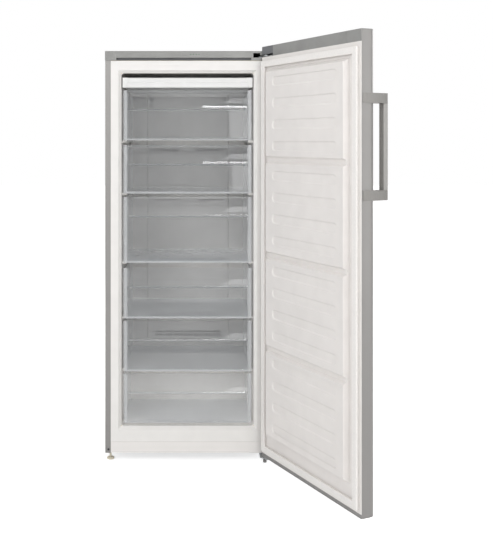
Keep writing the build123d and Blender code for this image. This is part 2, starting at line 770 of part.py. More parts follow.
outlet_z = mount_z + 60
riser = (compressor_x + 110, drier_y + 20)
discharge = pipe([(compressor_x + compressor_radius + slide_gap, compressor_y, outlet_z),
                  (riser[0], compressor_y, outlet_z), (*riser, outlet_z), (*riser, bay_top)], 10)
drier_top = floor_z + 152
bend_z = bay_top - 20
liquid = pipe([(drier_x, drier_y, drier_top), (drier_x, drier_y, bend_z), (drier_x - 50, drier_y, bend_z),
               (drier_x - 50, drier_y, bay_top)], 8)
with BuildPart() as refrigerant_pipes:
    add(discharge)
    add(liquid)
    with BuildSketch(Plane.XZ.offset(-drier_y)):
        with BuildLine():
            Polyline((drier_x, floor_z), (drier_x + 3, floor_z), (drier_x + 3, floor_z + 52),
                     (drier_x + drier_radius, floor_z + 64), (drier_x + drier_radius, floor_z + 140),
                     (drier_x + 3, drier_top), (drier_x, drier_top), close=True)
        make_face()
    revolve(axis=Axis((drier_x, drier_y, 0), (0, 0, 1)))
keep(refrigerant_pipes.part, "refrigerant_pipes")

fastener_sides = 12
inlet_x = 80.0 - half_width
inlet_z = 75.0
inlet_radius = 7.0
cable_hole = 3.5
cover_thickness = 2.4
louvre = (80.0, 6.0)
louvre_pitch = (100.0, 18.0)
louvre_columns = 5
louvre_rows = 7
with BuildPart() as compressor_cover:
    span_box((-foam_inner, foam_inner), (back_y - cover_thickness, back_y), (floor_z, bay_top - 0.6))
    with BuildSketch(inward(back_y - cover_thickness - 1)):
        with Locations((0, (floor_z + bay_top) / 2 + 18)):
            with GridLocations(*louvre_pitch, louvre_columns, louvre_rows):
                Rectangle(*louvre)
        with Locations((-inlet_x, inlet_z)):
            Circle(inlet_radius)
    extrude(amount=cover_thickness + 2, mode=Mode.SUBTRACT)
keep(compressor_cover.part, "compressor_cover")

with BuildPart() as supply_inlet:
    with BuildSketch(inward(back_y - cover_thickness - 4)):
        with Locations((-inlet_x, inlet_z)):
            RegularPolygon(inlet_radius + 4, fastener_sides)
            Circle(cable_hole, mode=Mode.SUBTRACT)
    extrude(amount=4)
    with BuildSketch(inward(back_y - cover_thickness)):
        with Locations((-inlet_x, inlet_z)):
            Circle(inlet_radius)
            Circle(cable_hole, mode=Mode.SUBTRACT)
    extrude(amount=cover_thickness + 6)
keep(supply_inlet.part, "supply_inlet")

rivet_height = 1.4
rivet_radius = 4.0
rivet_rows = 4
rivet_pitch = (shell_top - bay_top) / rivet_rows
with BuildPart() as back_rivets:
    with BuildSketch(inward(cabinet_depth)):
        with Locations((0, (bay_top + shell_top) / 2)):
            with GridLocations(cabinet_width - rear_return, rivet_pitch, 2, rivet_rows):
                RegularPolygon(rivet_radius, fastener_sides)
    extrude(amount=rivet_height)
keep(back_rivets.part, "back_rivets")

# ================= top =================
trim_front = -2.0
trim_depth = 14.0
end_cap_width = 41.0
hinge_cover_x = half_width - 68.0
panel_front = trim_front + trim_depth
top_wall = 3.0
shadow_height = 8.5
shadow_y = 8.0
shadow_wall = 2.0
with BuildPart() as top_panel:
    with BuildSketch(Plane.XY.offset(shell_top)):
        with Locations((0, (panel_front + cabinet_depth) / 2)):
            Rectangle(cabinet_width, cabinet_depth - panel_front)
    extrude(amount=top_trim_height)
    fillet(top_panel.edges().filter_by(Axis.Z).group_by(Axis.Y)[-1], radius=8)
    fillet(top_panel.faces().sort_by(Axis.Z)[-1].edges().sort_by(Axis.Y)[1:], radius=2)
    span_box((-half_width + top_wall, half_width - top_wall), (panel_front - 1, cabinet_depth - top_wall),
             (shell_top - 1, cabinet_top - top_wall), mode=Mode.SUBTRACT)
    for rib_x in (-150, 0, 150):
        span_box((rib_x - 1.2, rib_x + 1.2), (120, cabinet_depth - top_wall),
                 (shell_top, cabinet_top - top_wall))
keep(top_panel.part, "top_panel")

board_x = 27.0
board_width = 150.0
button_xs = (-15.0, 70.0)
lamp_xs = (12.0, 22.0, 32.0, 42.0)
control_z = (shell_top + shadow_height + cabinet_top) / 2
button_width = 14.0
button_high = 7.0
button_gap = 0.25
button_travel = 1.0
board_y = 6.0
with BuildPart() as top_trim:
    trim_low = shell_top + shadow_height
    with BuildSketch(Plane.YZ.offset(-half_width + end_cap_width)):
        with BuildLine():
            Polyline((panel_front, cabinet_top), (trim_front + 2, cabinet_top),
                     (trim_front, cabinet_top - 2), (trim_front, trim_low + 1.5),
                     (trim_front + 1.5, trim_low), (shadow_y, trim_low),
                     (shadow_y, shell_top), (shadow_y + shadow_wall, shell_top),
                     (shadow_y + shadow_wall, trim_low + 2.5), (trim_front + 3, trim_low + 2.5),
                     (trim_front + 3, cabinet_top - 3), (panel_front, cabinet_top - 3), close=True)
        make_face()
    extrude(amount=half_width - end_cap_width + hinge_cover_x)
    with BuildSketch(inward(trim_front + 3)):
        with Locations((-board_x, control_z)):
            with GridLocations(board_width - 10, 10, 2, 2):
                Rectangle(5, 5)
    extrude(amount=board_y - trim_front - 3)
    with BuildSketch(inward(trim_front - 1)):
        for button_x in button_xs:
            with Locations((-button_x, control_z)):
                SlotOverall(button_width + 2 * button_gap, button_high + 2 * button_gap)
        for lamp_x in lamp_xs:
            with Locations((-lamp_x, control_z)):
                Circle(1.6)
    extrude(amount=5, mode=Mode.SUBTRACT)
keep(top_trim.part, "top_trim")

with BuildPart() as control_board:
    with BuildSketch(inward(board_y)):
        with Locations((-board_x, control_z)):
            Rectangle(board_width, 17)
    extrude(amount=1.6)
    with BuildSketch(inward(board_y + 1.6)):
        with Locations((-board_x - 30, control_z)):
            Rectangle(40, 12)
    extrude(amount=6)
    with BuildSketch(inward(trim_front - 0.2)):
        for lamp_x in lamp_xs:
            with Locations((-lamp_x, control_z)):
                Circle(1.5)
    extrude(amount=board_y - trim_front + 0.2)
keep(control_board.part, "control_board")

for name, button_x in (("temperature_button", button_xs[0]), ("fast_freeze_button", button_xs[1])):
    with BuildPart() as button:
        with BuildSketch(inward(trim_front - 1.2)):
            with Locations((-button_x, control_z)):
                SlotOverall(button_width, button_high)
        extrude(amount=4.6)
        with BuildSketch(inward(trim_front + 3.4)):
            with Locations((-button_x, control_z)):
                SlotOverall(button_width + 3, button_high + 3)
        extrude(amount=1)
        with BuildSketch(inward(trim_front + 4.4)):
            with Locations((-button_x, control_z)):
                Circle(2)
        extrude(amount=board_y - button_travel - slide_gap - trim_front - 4.4)
    keep(button.part, name)

with BuildPart() as end_cap_left:
    cap_out = -half_width - 1
    cap_in = -half_width + end_cap_width
    with BuildSketch(Plane.XY.offset(shell_top)):
        with BuildLine():
            Polyline((cap_in, panel_front), (cap_in, trim_front - 0.6), (cap_in - 3, trim_front - 0.6),
                     (cap_in - 5, trim_front), (cap_in - 15, trim_front), (cap_in - 17, trim_front - 0.8),
                     (cap_out + 2, trim_front - 0.8), (cap_out, trim_front + 2), (cap_out, panel_front),
                     close=True)
        make_face()
    extrude(amount=top_trim_height)
    span_box((cap_out + 3, cap_in + 1), (trim_front + 3, panel_front + 1), (shell_top - 1, cabinet_top - 3),
             mode=Mode.SUBTRACT)
keep(end_cap_left.part, "end_cap_left")

arm_top = hinge_arm_z + hinge_plate
with BuildPart() as hinge_cover:
    with BuildSketch(Plane.XY.offset(shell_top)):
        with BuildLine():
            Polyline((hinge_cover_x, panel_front), (hinge_cover_x, trim_front), (half_width - 1, trim_front),
                     (half_width + 1, trim_front + 2), (half_width + 1, panel_front), close=True)
        make_face()
    extrude(amount=top_trim_height)
    span_box((hinge_cover_x + 3, half_width - 2), (trim_front + 3, panel_front + 1),
             (shell_top - 1, cabinet_top - 3), mode=Mode.SUBTRACT)
    span_box((pin_x - hinge_arm_width, half_width + 2), (trim_front - 1, panel_front + 1),
             (hinge_arm_z - pocket_gap, arm_top + pocket_gap), mode=Mode.SUBTRACT)
    span_box((hinge_cover_x + 8, pin_x - hinge_arm_width + 1), (trim_front - 1, trim_front + 4),
             (hinge_arm_z - pocket_gap, cabinet_top - 8), mode=Mode.SUBTRACT)
keep(hinge_cover.part, "hinge_cover")

# ================= hinges =================
base_plate = (half_width - 74.0, half_width - 4.0, 22.0, 66.0)
arm_root_x = half_width - arm_root
arm_x = (pin_x - hinge_arm_width / 2, pin_x + hinge_arm_width / 2)
bush_reach = bush_length - 3
with BuildPart() as upper_hinge_bracket:
    span_box(base_plate[0:2], base_plate[2:4], (shell_top, shell_top + hinge_plate))
    span_box((arm_root_x, base_plate[1]), (base_plate[2], base_plate[2] + hinge_plate), (shell_top, arm_top))
    span_box((arm_x[0], base_plate[1]), (0, base_plate[2] + hinge_plate), (hinge_arm_z, arm_top))
    span_box(arm_x, (pin_y, panel_front - 2), (hinge_arm_z, arm_top))
    with BuildSketch(Plane.XY.offset(hinge_arm_z)):
        with Locations((pin_x, pin_y)):
            Circle(hinge_arm_width / 2)
    extrude(amount=hinge_plate)
    with BuildSketch(Plane.XY.offset(shell_top)):
        with Locations(*[(x, hinge_screw_y) for x in hinge_screw_xs]):
            Circle(screw_radius)
    extrude(amount=hinge_plate, mode=Mode.SUBTRACT)
    with Locations((pin_x, pin_y, (arm_top + hinge_arm_z - bush_reach) / 2)):
        Cylinder(pin_diameter / 2, arm_top - hinge_arm_z + bush_reach)
    with Locations((pin_x, pin_y, arm_top + 0.7)):
        Cylinder(pin_diameter / 2 + 2.5, 1.4)
    chamfer(upper_hinge_bracket.edges().filter_by(GeomType.CIRCLE).sort_by(Axis.Z)[0], length=1)
keep(upper_hinge_bracket.part, "upper_hinge_bracket")

lower_arm_top = door_bottom - bush_flange - slide_gap
lower_arm_low = lower_arm_top - hinge_plate
with BuildPart() as lower_hinge_bracket:
    span_box(base_plate[0:2], (10, base_plate[3]), (cabinet_base - hinge_plate, cabinet_base))
    span_box((arm_root_x, base_plate[1]), (6, 10), (lower_arm_low, cabinet_base - hinge_plate / 2))
    span_box((arm_root_x, base_plate[1]), (6, 14), (cabinet_base - hinge_plate, cabinet_base))
    span_box((arm_root_x, arm_x[1]), (pin_y, 10), (lower_arm_low, lower_arm_top))
    with BuildSketch(Plane.XY.offset(lower_arm_low)):
        with Locations((pin_x, pin_y)):
            Circle(hinge_arm_width / 2)
        with Locations((pin_x - arm_knee, pin_y + 2)):
            Circle(hinge_arm_width / 2)
    extrude(amount=hinge_plate)
    with BuildSketch(Plane.XY.offset(lower_arm_low - 1)):
        with Locations((hinge_foot_x, hinge_foot_y)):
            Circle(foot_stem / 2 + stem_clearance)
        with Locations(*[(x, hinge_screw_y) for x in hinge_screw_xs]):
            Circle(screw_radius)
    extrude(amount=12, mode=Mode.SUBTRACT)
    pin_high = lower_arm_top + bush_reach
    with Locations((pin_x, pin_y, (lower_arm_low + pin_high) / 2)):
        Cylinder(pin_diameter / 2, pin_high - lower_arm_low)
    with BuildSketch(Plane.XY.offset(lower_arm_low)):
        with Locations((pin_x, pin_y)):
            RegularPolygon(7.5, 6)
    extrude(amount=-6)
    chamfer(lower_hinge_bracket.edges().filter_by(GeomType.CIRCLE).sort_by(Axis.Z)[-1], length=1)
keep(lower_hinge_bracket.part, "lower_hinge_bracket")

with BuildPart() as foot_right:
    knob_x = hinge_foot_x + hinge_foot_diameter / 2
    with BuildSketch(Plane.XZ.offset(-hinge_foot_y)):
        with BuildLine():
            Polyline((hinge_foot_x, 0), (knob_x - 1, 0), (knob_x, 1.5), (knob_x, 10),
                     (hinge_foot_x + foot_stem / 2, 12), (hinge_foot_x + foot_stem / 2, lower_arm_top + 1.2),
                     (hinge_foot_x, lower_arm_top + 1.2), close=True)
        make_face()
    revolve(axis=Axis((hinge_foot_x, hinge_foot_y, 0), (0, 0, 1)))
keep(foot_right.part, "foot_right")

with BuildPart() as hinge_screws:
    upper_row = (shell_top - sheet, shell_top + hinge_plate, shell_top + hinge_plate)
    plate_low = cabinet_base - hinge_plate
    lower_row = (plate_low, cabinet_base + base_sheet, plate_low - screw_head)
    for shank_low, shank_high, head_low in (upper_row, lower_row):
        with BuildSketch(Plane.XY.offset(shank_low)):
            with Locations(*[(x, hinge_screw_y) for x in hinge_screw_xs]):
                Circle(screw_radius)
        extrude(amount=shank_high - shank_low)
        with BuildSketch(Plane.XY.offset(head_low)):
            with Locations(*[(x, hinge_screw_y) for x in hinge_screw_xs]):
                RegularPolygon(screw_head_radius, 6)
        extrude(amount=screw_head)
keep(hinge_screws.part, "hinge_screws")

# ================= door =================
skirt = 2.0
edge_taper = 1.5


def door_outline(z, height, inset, back, mode=Mode.ADD):
    """The door's plan: rounded front corners, sides that narrow a little towards the back."""
    side_x = half_width - inset
    with BuildSketch(Plane.XY.offset(z)) as outline:
        with BuildLine():
            Polyline((side_x - edge_taper, back), (side_x, back - 8), (side_x, door_outer_y + inset),
                     (-side_x, door_outer_y + inset), (-side_x, back - 8), (-side_x + edge_taper, back),
                     close=True)
        make_face()
        fillet(outline.vertices().group_by(Axis.Y)[0], radius=door_corner - inset)
    extrude(outline.sketch, amount=height, mode=mode)


liner_back = door_inner_y - skirt
lap_half = half_width - edge_taper
cap_underside = door_top - cap_plate
trim_bottom = door_top - top_cap_height
liner_low = door_bottom + bottom_cap_height
pocket_low = hinge_arm_z - pocket_gap
pocket_high = arm_top + pocket_gap
pocket_x = pin_x - hinge_arm_width / 2 - pocket_gap
pocket_front = door_outer_y + 6
handle_screw_x = -half_width + handle_bar_width / 2
mount_zs = (handle_bottom, handle_bottom + handle_length - handle_mount_height)
handle_screw_spots = [(-handle_screw_x, mount_low + share * handle_mount_height)
                      for mount_low in mount_zs for share in (0.28, 0.72)]


def handle_screw_holes(radius, y_from, y_to):
    """Round holes for the handle's four screws, two in each mount."""
    with BuildSketch(inward(y_from)) as holes:
        with Locations(*handle_screw_spots):
            Circle(radius)
    extrude(holes.sketch, amount=y_to - y_from, mode=Mode.SUBTRACT)


with BuildPart() as door_shell:
    door_outline(door_bottom + cap_plate, door_top - door_bottom - 2 * cap_plate, 0, liner_back)
    door_outline(door_bottom, door_top - door_bottom, sheet, liner_back + 1, mode=Mode.SUBTRACT)
    span_box((-half_width + 3, half_width - 3), (liner_back - 4, liner_back + 2), (0, door_top),
             mode=Mode.SUBTRACT)
    span_box((pocket_x, half_width + 1), (pocket_front, liner_back + 1), (pocket_low, door_top),
             mode=Mode.SUBTRACT)
    handle_screw_holes(handle_screw_diameter / 2, door_outer_y - 1, door_outer_y + 5)
keep_on_door(door_shell.part, "door_shell")


def relief_rect(y, skin):
    """Width, middle height and height of the liner's raised block at depth y."""
    share = (y - door_inner_y) / relief_height
    width = relief_foot[0] - 2 * relief_draft * share - 2 * skin
    low = relief_foot[1] + relief_end_draft * share + skin
    high = relief_foot[2] - relief_end_draft * share - skin
    return width, (low + high) / 2, high - low


def relief_block(y_from, y_to, skin, mode=Mode.ADD):
    """The raised block of the liner, between two depths."""
    ends = []
    for y in (y_from, y_to):
        width, middle, height = relief_rect(y, skin)
        with BuildSketch(inward(y)) as end:
            with Locations((0, middle)):
                Rectangle(width, height)
        ends.append(end.sketch)
    loft(ends, mode=mode)


rim_y = door_inner_y + relief_height


def divider_grooves(skin, mode=Mode.SUBTRACT):
    """The three sloped grooves that part the block into four panels."""
    floor_y = rim_y - divider_depth - skin
    slope = (divider_width - divider_floor) / 2 / divider_depth
    floor_half = divider_floor / 2 + skin
    top_half = floor_half + slope * (divider_depth + skin + 1)
    for height in divider_heights:
        with BuildSketch(Plane.YZ.offset(-half_width)) as groove:
            with BuildLine():
                Polyline((floor_y, height - floor_half), (floor_y, height + floor_half),
                         (rim_y + 1, height + top_half), (rim_y + 1, height - top_half), close=True)
            make_face()
        extrude(groove.sketch, amount=cabinet_width, mode=mode)


void_y = rim_y - rim_drop - rib_depth - skirt


def relief_void(y_from):
    """The hollow behind the raised block, filled by the door's insulation."""
    with BuildPart() as void:
        relief_block(y_from, void_y, skirt)
        divider_grooves(skirt)
    return void.part


with BuildPart() as door_liner:
    span_box((-lap_half, lap_half), (liner_back, door_inner_y), (liner_low, trim_bottom))
    relief_block(door_inner_y, rim_y, 0)
    divider_grooves(0)
    panel_lows = [relief_foot[1] + relief_end_draft] + [z + divider_width / 2 for z in divider_heights]
    panel_highs = [z - divider_width / 2 for z in divider_heights] + [relief_foot[2] - relief_end_draft]
    rim_width = relief_foot[0] - 2 * relief_draft
    for low, high in zip(panel_lows, panel_highs):
        middle = (low + high) / 2
        for y, inset in ((rim_y, rim_crest), (rim_y - rim_drop, rim_crest + rim_slope)):
            with BuildSketch(inward(y)):
                with Locations((0, middle)):
                    Rectangle(rim_width - 2 * inset, high - low - 2 * inset)
        loft(mode=Mode.SUBTRACT)
        for rib in range(ribs_per_panel):
            rib_z = middle + (rib - (ribs_per_panel - 1) / 2) * rib_pitch
            for y, inset in ((rim_y - rim_drop, 0), (rim_y - rim_drop - rib_depth, 5)):
                with BuildSketch(inward(y)):
                    with Locations((0, rib_z)):
                        SlotOverall(rib_length - 2 * inset, rib_width - 2 * inset)
            loft(mode=Mode.SUBTRACT)
    add(relief_void(liner_back - 1), mode=Mode.SUBTRACT)
keep_on_door(door_liner.part, "door_liner")

# ---- door insulation, seal and caps ----
bush_radius = pin_diameter / 2 + pin_clearance + bush_wall
bush_flange_radius = bush_radius + 3
foam_top = trim_bottom - 2
lower_bush_low = door_bottom - bush_flange
with BuildPart() as door_foam:
    door_outline(liner_low, foam_top - liner_low, sheet, liner_back)
    add(relief_void(liner_back))
    for bush_low in (door_bottom, foam_top - bush_length):
        with Locations((pin_x, pin_y, bush_low + bush_length / 2 + 5)):
            Cylinder(bush_radius, bush_length + 10, mode=Mode.SUBTRACT)
    handle_screw_holes(handle_screw_diameter / 2, door_outer_y - 1, door_outer_y + handle_screw_depth)
keep_on_door(door_foam.part, "door_foam")

gasket_top = shell_top - 7.0
gasket_bottom = 53.0
gasket_back = -gasket_gap
gasket_steps = ((door_inner_y, -9.0, 3.0), (-9.0, -7.0, 6.0), (-7.0, gasket_back, 0.0))
with BuildPart() as door_gasket:
    for y_from, y_to, inset in gasket_steps:
        ring_width = cabinet_width - 2 * gasket_inset - 2 * inset
        ring_height = gasket_top - gasket_bottom - 2 * inset
        hole = 2 * (gasket_width - 2 * inset)
        with BuildSketch(inward(y_from)):
            with Locations((0, (gasket_top + gasket_bottom) / 2)):
                Rectangle(ring_width, ring_height)
                Rectangle(ring_width - hole, ring_height - hole, mode=Mode.SUBTRACT)
        extrude(amount=y_to - y_from)
    fillet(door_gasket.faces().sort_by(Axis.Y)[-1].edges(), radius=1.5)
keep_on_door(door_gasket.part, "door_gasket")

hinge_cap_x = half_width - hinge_cap_length
with BuildPart() as door_top_cap:
    door_outline(cap_underside, cap_plate, 0, door_inner_y)
    span_box((-lap_half, lap_half), (liner_back, door_inner_y), (trim_bottom, cap_underside))
    span_box((-lap_half + 1, lap_half - 1), (liner_back - skirt, liner_back), (trim_bottom, cap_underside))
    door_outline(foam_top, 2, sheet + slide_gap, liner_back)
    span_box((hinge_cap_x, half_width + 1), (door_outer_y - 1, door_inner_y + 1),
             (cap_underside, door_top + 1), mode=Mode.SUBTRACT)
    span_box((hinge_cap_x, half_width + 1), (liner_back - 3, door_inner_y + 1), (pocket_low, door_top + 1),
             mode=Mode.SUBTRACT)
    with Locations((pin_x, pin_y, trim_bottom)):
        Cylinder(bush_radius, 10, mode=Mode.SUBTRACT)
    seam_span = (-hinge_cap_x, cap_seam[0] - hinge_cap_x)
    span_box(seam_span, (door_outer_y - 1, door_inner_y + 1), (door_top - cap_seam[1], door_top + 1),
             mode=Mode.SUBTRACT)
    span_box(seam_span, (door_inner_y - cap_seam[1], door_inner_y + 1), (trim_bottom - 1, door_top + 1),
             mode=Mode.SUBTRACT)
keep_on_door(door_top_cap.part, "door_top_cap")

with BuildPart() as door_hinge_cap:
    door_outline(cap_underside, cap_plate, 0, door_inner_y)
    span_box((hinge_cap_x, lap_half), (liner_back, door_inner_y), (pocket_high, cap_underside))
    span_box((lap_half - 1, half_width), (pocket_front, door_inner_y - 6), (pocket_high, cap_underside))
    span_box((-half_width - 1, hinge_cap_x), (door_outer_y - 1, door_inner_y + 1), (0, door_top + 1),
             mode=Mode.SUBTRACT)
keep_on_door(door_hinge_cap.part, "door_hinge_cap")

with BuildPart() as door_bottom_cap:
    door_outline(door_bottom, cap_plate, 0, door_inner_y)
    span_box((-lap_half, lap_half), (liner_back, door_inner_y), (door_bottom + cap_plate, liner_low))
    door_outline(liner_low - 2, 2, sheet, liner_back)
    with Locations((pin_x, pin_y, door_bottom)):
        Cylinder(bush_radius, 40, mode=Mode.SUBTRACT)
keep_on_door(door_bottom_cap.part, "door_bottom_cap")

with BuildPart() as hinge_bushes:
    for low, high, flange_low in ((lower_bush_low, lower_bush_low + bush_length, lower_bush_low),
                                  (foam_top - bush_length + 5, trim_bottom + bush_flange, trim_bottom)):
        with Locations((pin_x, pin_y, (low + high) / 2)):
            Cylinder(bush_radius, high - low)
        with Locations((pin_x, pin_y, flange_low + bush_flange / 2)):
            Cylinder(bush_flange_radius, bush_flange)
        with Locations((pin_x, pin_y, (low + high) / 2)):
            Cylinder(pin_diameter / 2 + pin_clearance, high - low + 1, mode=Mode.SUBTRACT)
keep_on_door(hinge_bushes.part, "hinge_bushes")

# ---- handle ----
bar_outer_y = door_outer_y - handle_standoff - handle_bar_thickness
bar_inner_y = door_outer_y - handle_standoff
bar_x = (-half_width, -half_width + handle_bar_width)
with BuildPart() as handle_bar:
    with BuildSketch(Plane.XY.offset(handle_bottom + handle_mount_height)):
        with Locations(((bar_x[0] + bar_x[1]) / 2, (bar_outer_y + bar_inner_y) / 2)):
            RectangleRounded(handle_bar_width, handle_bar_thickness, 2)
    extrude(amount=handle_length - 2 * handle_mount_height)
keep_on_door(handle_bar.part, "handle_bar")

with BuildPart() as handle_mounts:
    curve_start = (-half_width + door_corner, door_outer_y)
    curve_end = (-half_width, door_outer_y + door_corner)
    plate_x = -half_width - handle_side_plate
    plate_end = liner_back - 4
    for mount_low in mount_zs:
        with BuildSketch(Plane.XY.offset(mount_low)) as mount_plan:
            with BuildLine():
                Polyline((-half_width, plate_end), (-half_width - 1.5, plate_end), (plate_x, plate_end - 4),
                         (plate_x, door_outer_y), (-half_width, bar_outer_y),
                         (bar_x[1] + 2, bar_outer_y), (bar_x[1] + 2, door_outer_y),
                         curve_start)
                RadiusArc(curve_start, curve_end, door_corner)
                Line(curve_end, (-half_width, plate_end))
            make_face()
            fillet(mount_plan.vertices().group_by(Axis.Y)[0], radius=2.5)
        extrude(amount=handle_mount_height)
    handle_screw_holes(handle_screw_diameter / 2, door_outer_y - handle_screw_bite, door_outer_y + 4)
keep_on_door(handle_mounts.part, "handle_mounts")

with BuildPart() as handle_screws:
    with BuildSketch(inward(door_outer_y - handle_screw_bite)):
        with Locations(*handle_screw_spots):
            Circle(handle_screw_diameter / 2)
    extrude(amount=handle_screw_bite + handle_screw_depth)
keep_on_door(handle_screws.part, "handle_screws")
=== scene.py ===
import math

import bpy
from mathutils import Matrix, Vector


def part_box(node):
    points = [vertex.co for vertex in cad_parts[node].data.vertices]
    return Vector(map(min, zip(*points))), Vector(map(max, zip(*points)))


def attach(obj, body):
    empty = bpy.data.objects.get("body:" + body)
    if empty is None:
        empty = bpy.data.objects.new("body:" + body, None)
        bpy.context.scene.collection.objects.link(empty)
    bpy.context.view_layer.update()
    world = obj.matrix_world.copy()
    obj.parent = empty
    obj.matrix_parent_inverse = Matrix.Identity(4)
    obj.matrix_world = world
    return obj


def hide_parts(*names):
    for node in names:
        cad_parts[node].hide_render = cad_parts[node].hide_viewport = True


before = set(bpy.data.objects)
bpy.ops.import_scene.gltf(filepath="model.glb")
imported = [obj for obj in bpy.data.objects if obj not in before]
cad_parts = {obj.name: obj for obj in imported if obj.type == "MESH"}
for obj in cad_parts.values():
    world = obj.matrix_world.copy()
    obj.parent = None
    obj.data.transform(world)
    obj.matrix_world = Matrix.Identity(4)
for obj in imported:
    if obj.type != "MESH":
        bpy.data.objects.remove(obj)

bl_info = {
    "name": "Upright Freezer",
    "version": (1, 0, 0),
    "blender": (4, 5, 0),
    "location": "View3D > Sidebar > Freezer",
    "description": "Dresses a free-standing upright freezer with clear drawers and an embossed door",
    "category": "Object",
}

MM = 0.001
NOISE_SPAN = (0.35, 0.65)  # nearly all of a noise pattern's values lie in this span


# ---------------------------------------------------------------- sizes and colours
class FreezerSizes(bpy.types.PropertyGroup):
    fold_edge: bpy.props.FloatProperty(
        name="Steel fold", description="Rounding of the steel skins", default=0.27 * MM, unit="LENGTH")
    panel_edge: bpy.props.FloatProperty(
        name="Top panel edge", description="Rounding of the top panel", default=0.9 * MM, unit="LENGTH")
    liner_edge: bpy.props.FloatProperty(
        name="Liner edge", description="Rounding of the formed liner", default=0.8 * MM, unit="LENGTH")
    door_edge: bpy.props.FloatProperty(
        name="Door edge", description="Rounding of the inner door", default=1.6 * MM, unit="LENGTH")
    cover_edge: bpy.props.FloatProperty(
        name="Cover edge", description="Rounding of the evaporator cover", default=0.42 * MM, unit="LENGTH")
    moulded_edge: bpy.props.FloatProperty(
        name="Moulded edge", description="Rounding of moulded pieces", default=0.6 * MM, unit="LENGTH")
    small_edge: bpy.props.FloatProperty(
        name="Small edge", description="Rounding of buttons and brackets", default=0.3 * MM, unit="LENGTH")
    bar_edge: bpy.props.FloatProperty(
        name="Handle edge", description="Rounding of the handle", default=0.8 * MM, unit="LENGTH")


class FreezerColours(bpy.types.PropertyGroup):
    silver: bpy.props.StringProperty(
        name="Silver steel", description="Lacquered steel, sRGB hex", default="9A9896")
    liner_white: bpy.props.StringProperty(
        name="Liner white", description="Inner liner, sRGB hex", default="EDEBE8")
    door_white: bpy.props.StringProperty(
        name="Door white", description="Inner door, sRGB hex", default="EBE7E4")
    clear: bpy.props.StringProperty(
        name="Clear plastic", description="Drawer fronts, sRGB hex", default="FBFCFD")


class FreezerStudio(bpy.types.PropertyGroup):
    photo_width: bpy.props.IntProperty(
        name="Frame width", description="Width of the photograph's frame", default=493, subtype="PIXEL")
    photo_height: bpy.props.IntProperty(
        name="Frame height", description="Height of the photograph's frame", default=540, subtype="PIXEL")
    focal: bpy.props.FloatProperty(
        name="Focal length", description="Focal length in frame pixels", default=888.0)
    centre_x: bpy.props.FloatProperty(
        name="Centre across", description="Principal point across, in pixels", default=191.07)
    centre_y: bpy.props.FloatProperty(
        name="Centre down", description="Principal point down, in pixels", default=141.0)
    eye: bpy.props.FloatVectorProperty(
        name="Eye", description="Place of the camera", size=3, default=(0.013, -3.237, 1.168),
        unit="LENGTH")


# ---------------------------------------------------------------- node and material helpers
def linear(code):
    """sRGB hex as linear RGBA."""
    channels = []
    for start in (0, 2, 4):
        value = int(code[start:start + 2], 16) / 255
        channels.append(value / 12.92 if value <= 0.04045 else ((value + 0.055) / 1.055) ** 2.4)
    return (*channels, 1.0)


def add_node(tree, kind, settings=None, links=None):
    """Adds a node: lower-case settings are its attributes, the others its inputs; links feed its inputs."""
    node = tree.nodes.new(kind)
    for key, value in (settings or {}).items():
        if isinstance(key, str) and key[0].islower():
            setattr(node, key, value)
        else:
            node.inputs[key].default_value = value
    for key, source in (links or {}).items():
        tree.links.new(source, node.inputs[key])
    return node


def start_material(name, colour, settings):
    """A Principled material: returns it, its tree, its shader and the object coordinates."""
    material = bpy.data.materials.new(name)
    material.use_nodes = True
    tree = material.node_tree
    tree.nodes.clear()
    shader = add_node(tree, "ShaderNodeBsdfPrincipled", {"Base Color": linear(colour), **settings})
    add_node(tree, "ShaderNodeOutputMaterial", None, {"Surface": shader.outputs["BSDF"]})
    place = add_node(tree, "ShaderNodeTexCoord").outputs["Object"]
    material.diffuse_color = linear(colour)
    return material, tree, shader, place


def grain(tree, place, size, detail=3.0, stretch=(1, 1, 1)):
    """Noise whose grains measure size metres, drawn out along an axis where stretch is under 1."""
    mapping = add_node(tree, "ShaderNodeMapping", {"Scale": stretch}, {"Vector": place})
    noise = add_node(tree, "ShaderNodeTexNoise", {"Scale": 1 / size, "Detail": detail, "Roughness": 0.55},
                     {"Vector": mapping.outputs["Vector"]})
    return noise.outputs["Fac"]


def vary_colour(tree, shader, factor, low, high, span=NOISE_SPAN):
    """Base colour that drifts between two close colours."""
    ramp = add_node(tree, "ShaderNodeMapRange", {"From Min": span[0], "From Max": span[1]},
                    {"Value": factor})
    mix = add_node(tree, "ShaderNodeMix", {"data_type": "RGBA"}, {"Factor": ramp.outputs["Result"]})
    mix.inputs[6].default_value = linear(low)
    mix.inputs[7].default_value = linear(high)
    tree.links.new(mix.outputs[2], shader.inputs["Base Color"])


def vary_roughness(tree, shader, factor, low, high):
    """Roughness that drifts between two values."""
    ramp = add_node(tree, "ShaderNodeMapRange",
                    {"From Min": NOISE_SPAN[0], "From Max": NOISE_SPAN[1], "To Min": low, "To Max": high},
                    {"Value": factor})
    tree.links.new(ramp.outputs["Result"], shader.inputs["Roughness"])


def raise_surface(tree, shader, factor, depth, strength):
    """Relief of that depth in metres from a pattern."""
    bump = add_node(tree, "ShaderNodeBump", {"Strength": strength, "Distance": depth}, {"Height": factor})
    tree.links.new(bump.outputs["Normal"], shader.inputs["Normal"])


def shade(code, amount):
    """The same colour a little lighter or darker, as sRGB hex."""
    channels = (round(int(code[start:start + 2], 16) * amount) for start in (0, 2, 4))
    return "".join(f"{max(0, min(255, channel)):02X}" for channel in channels)


# ---------------------------------------------------------------- materials
ACROSS = 0
UPRIGHT = 2


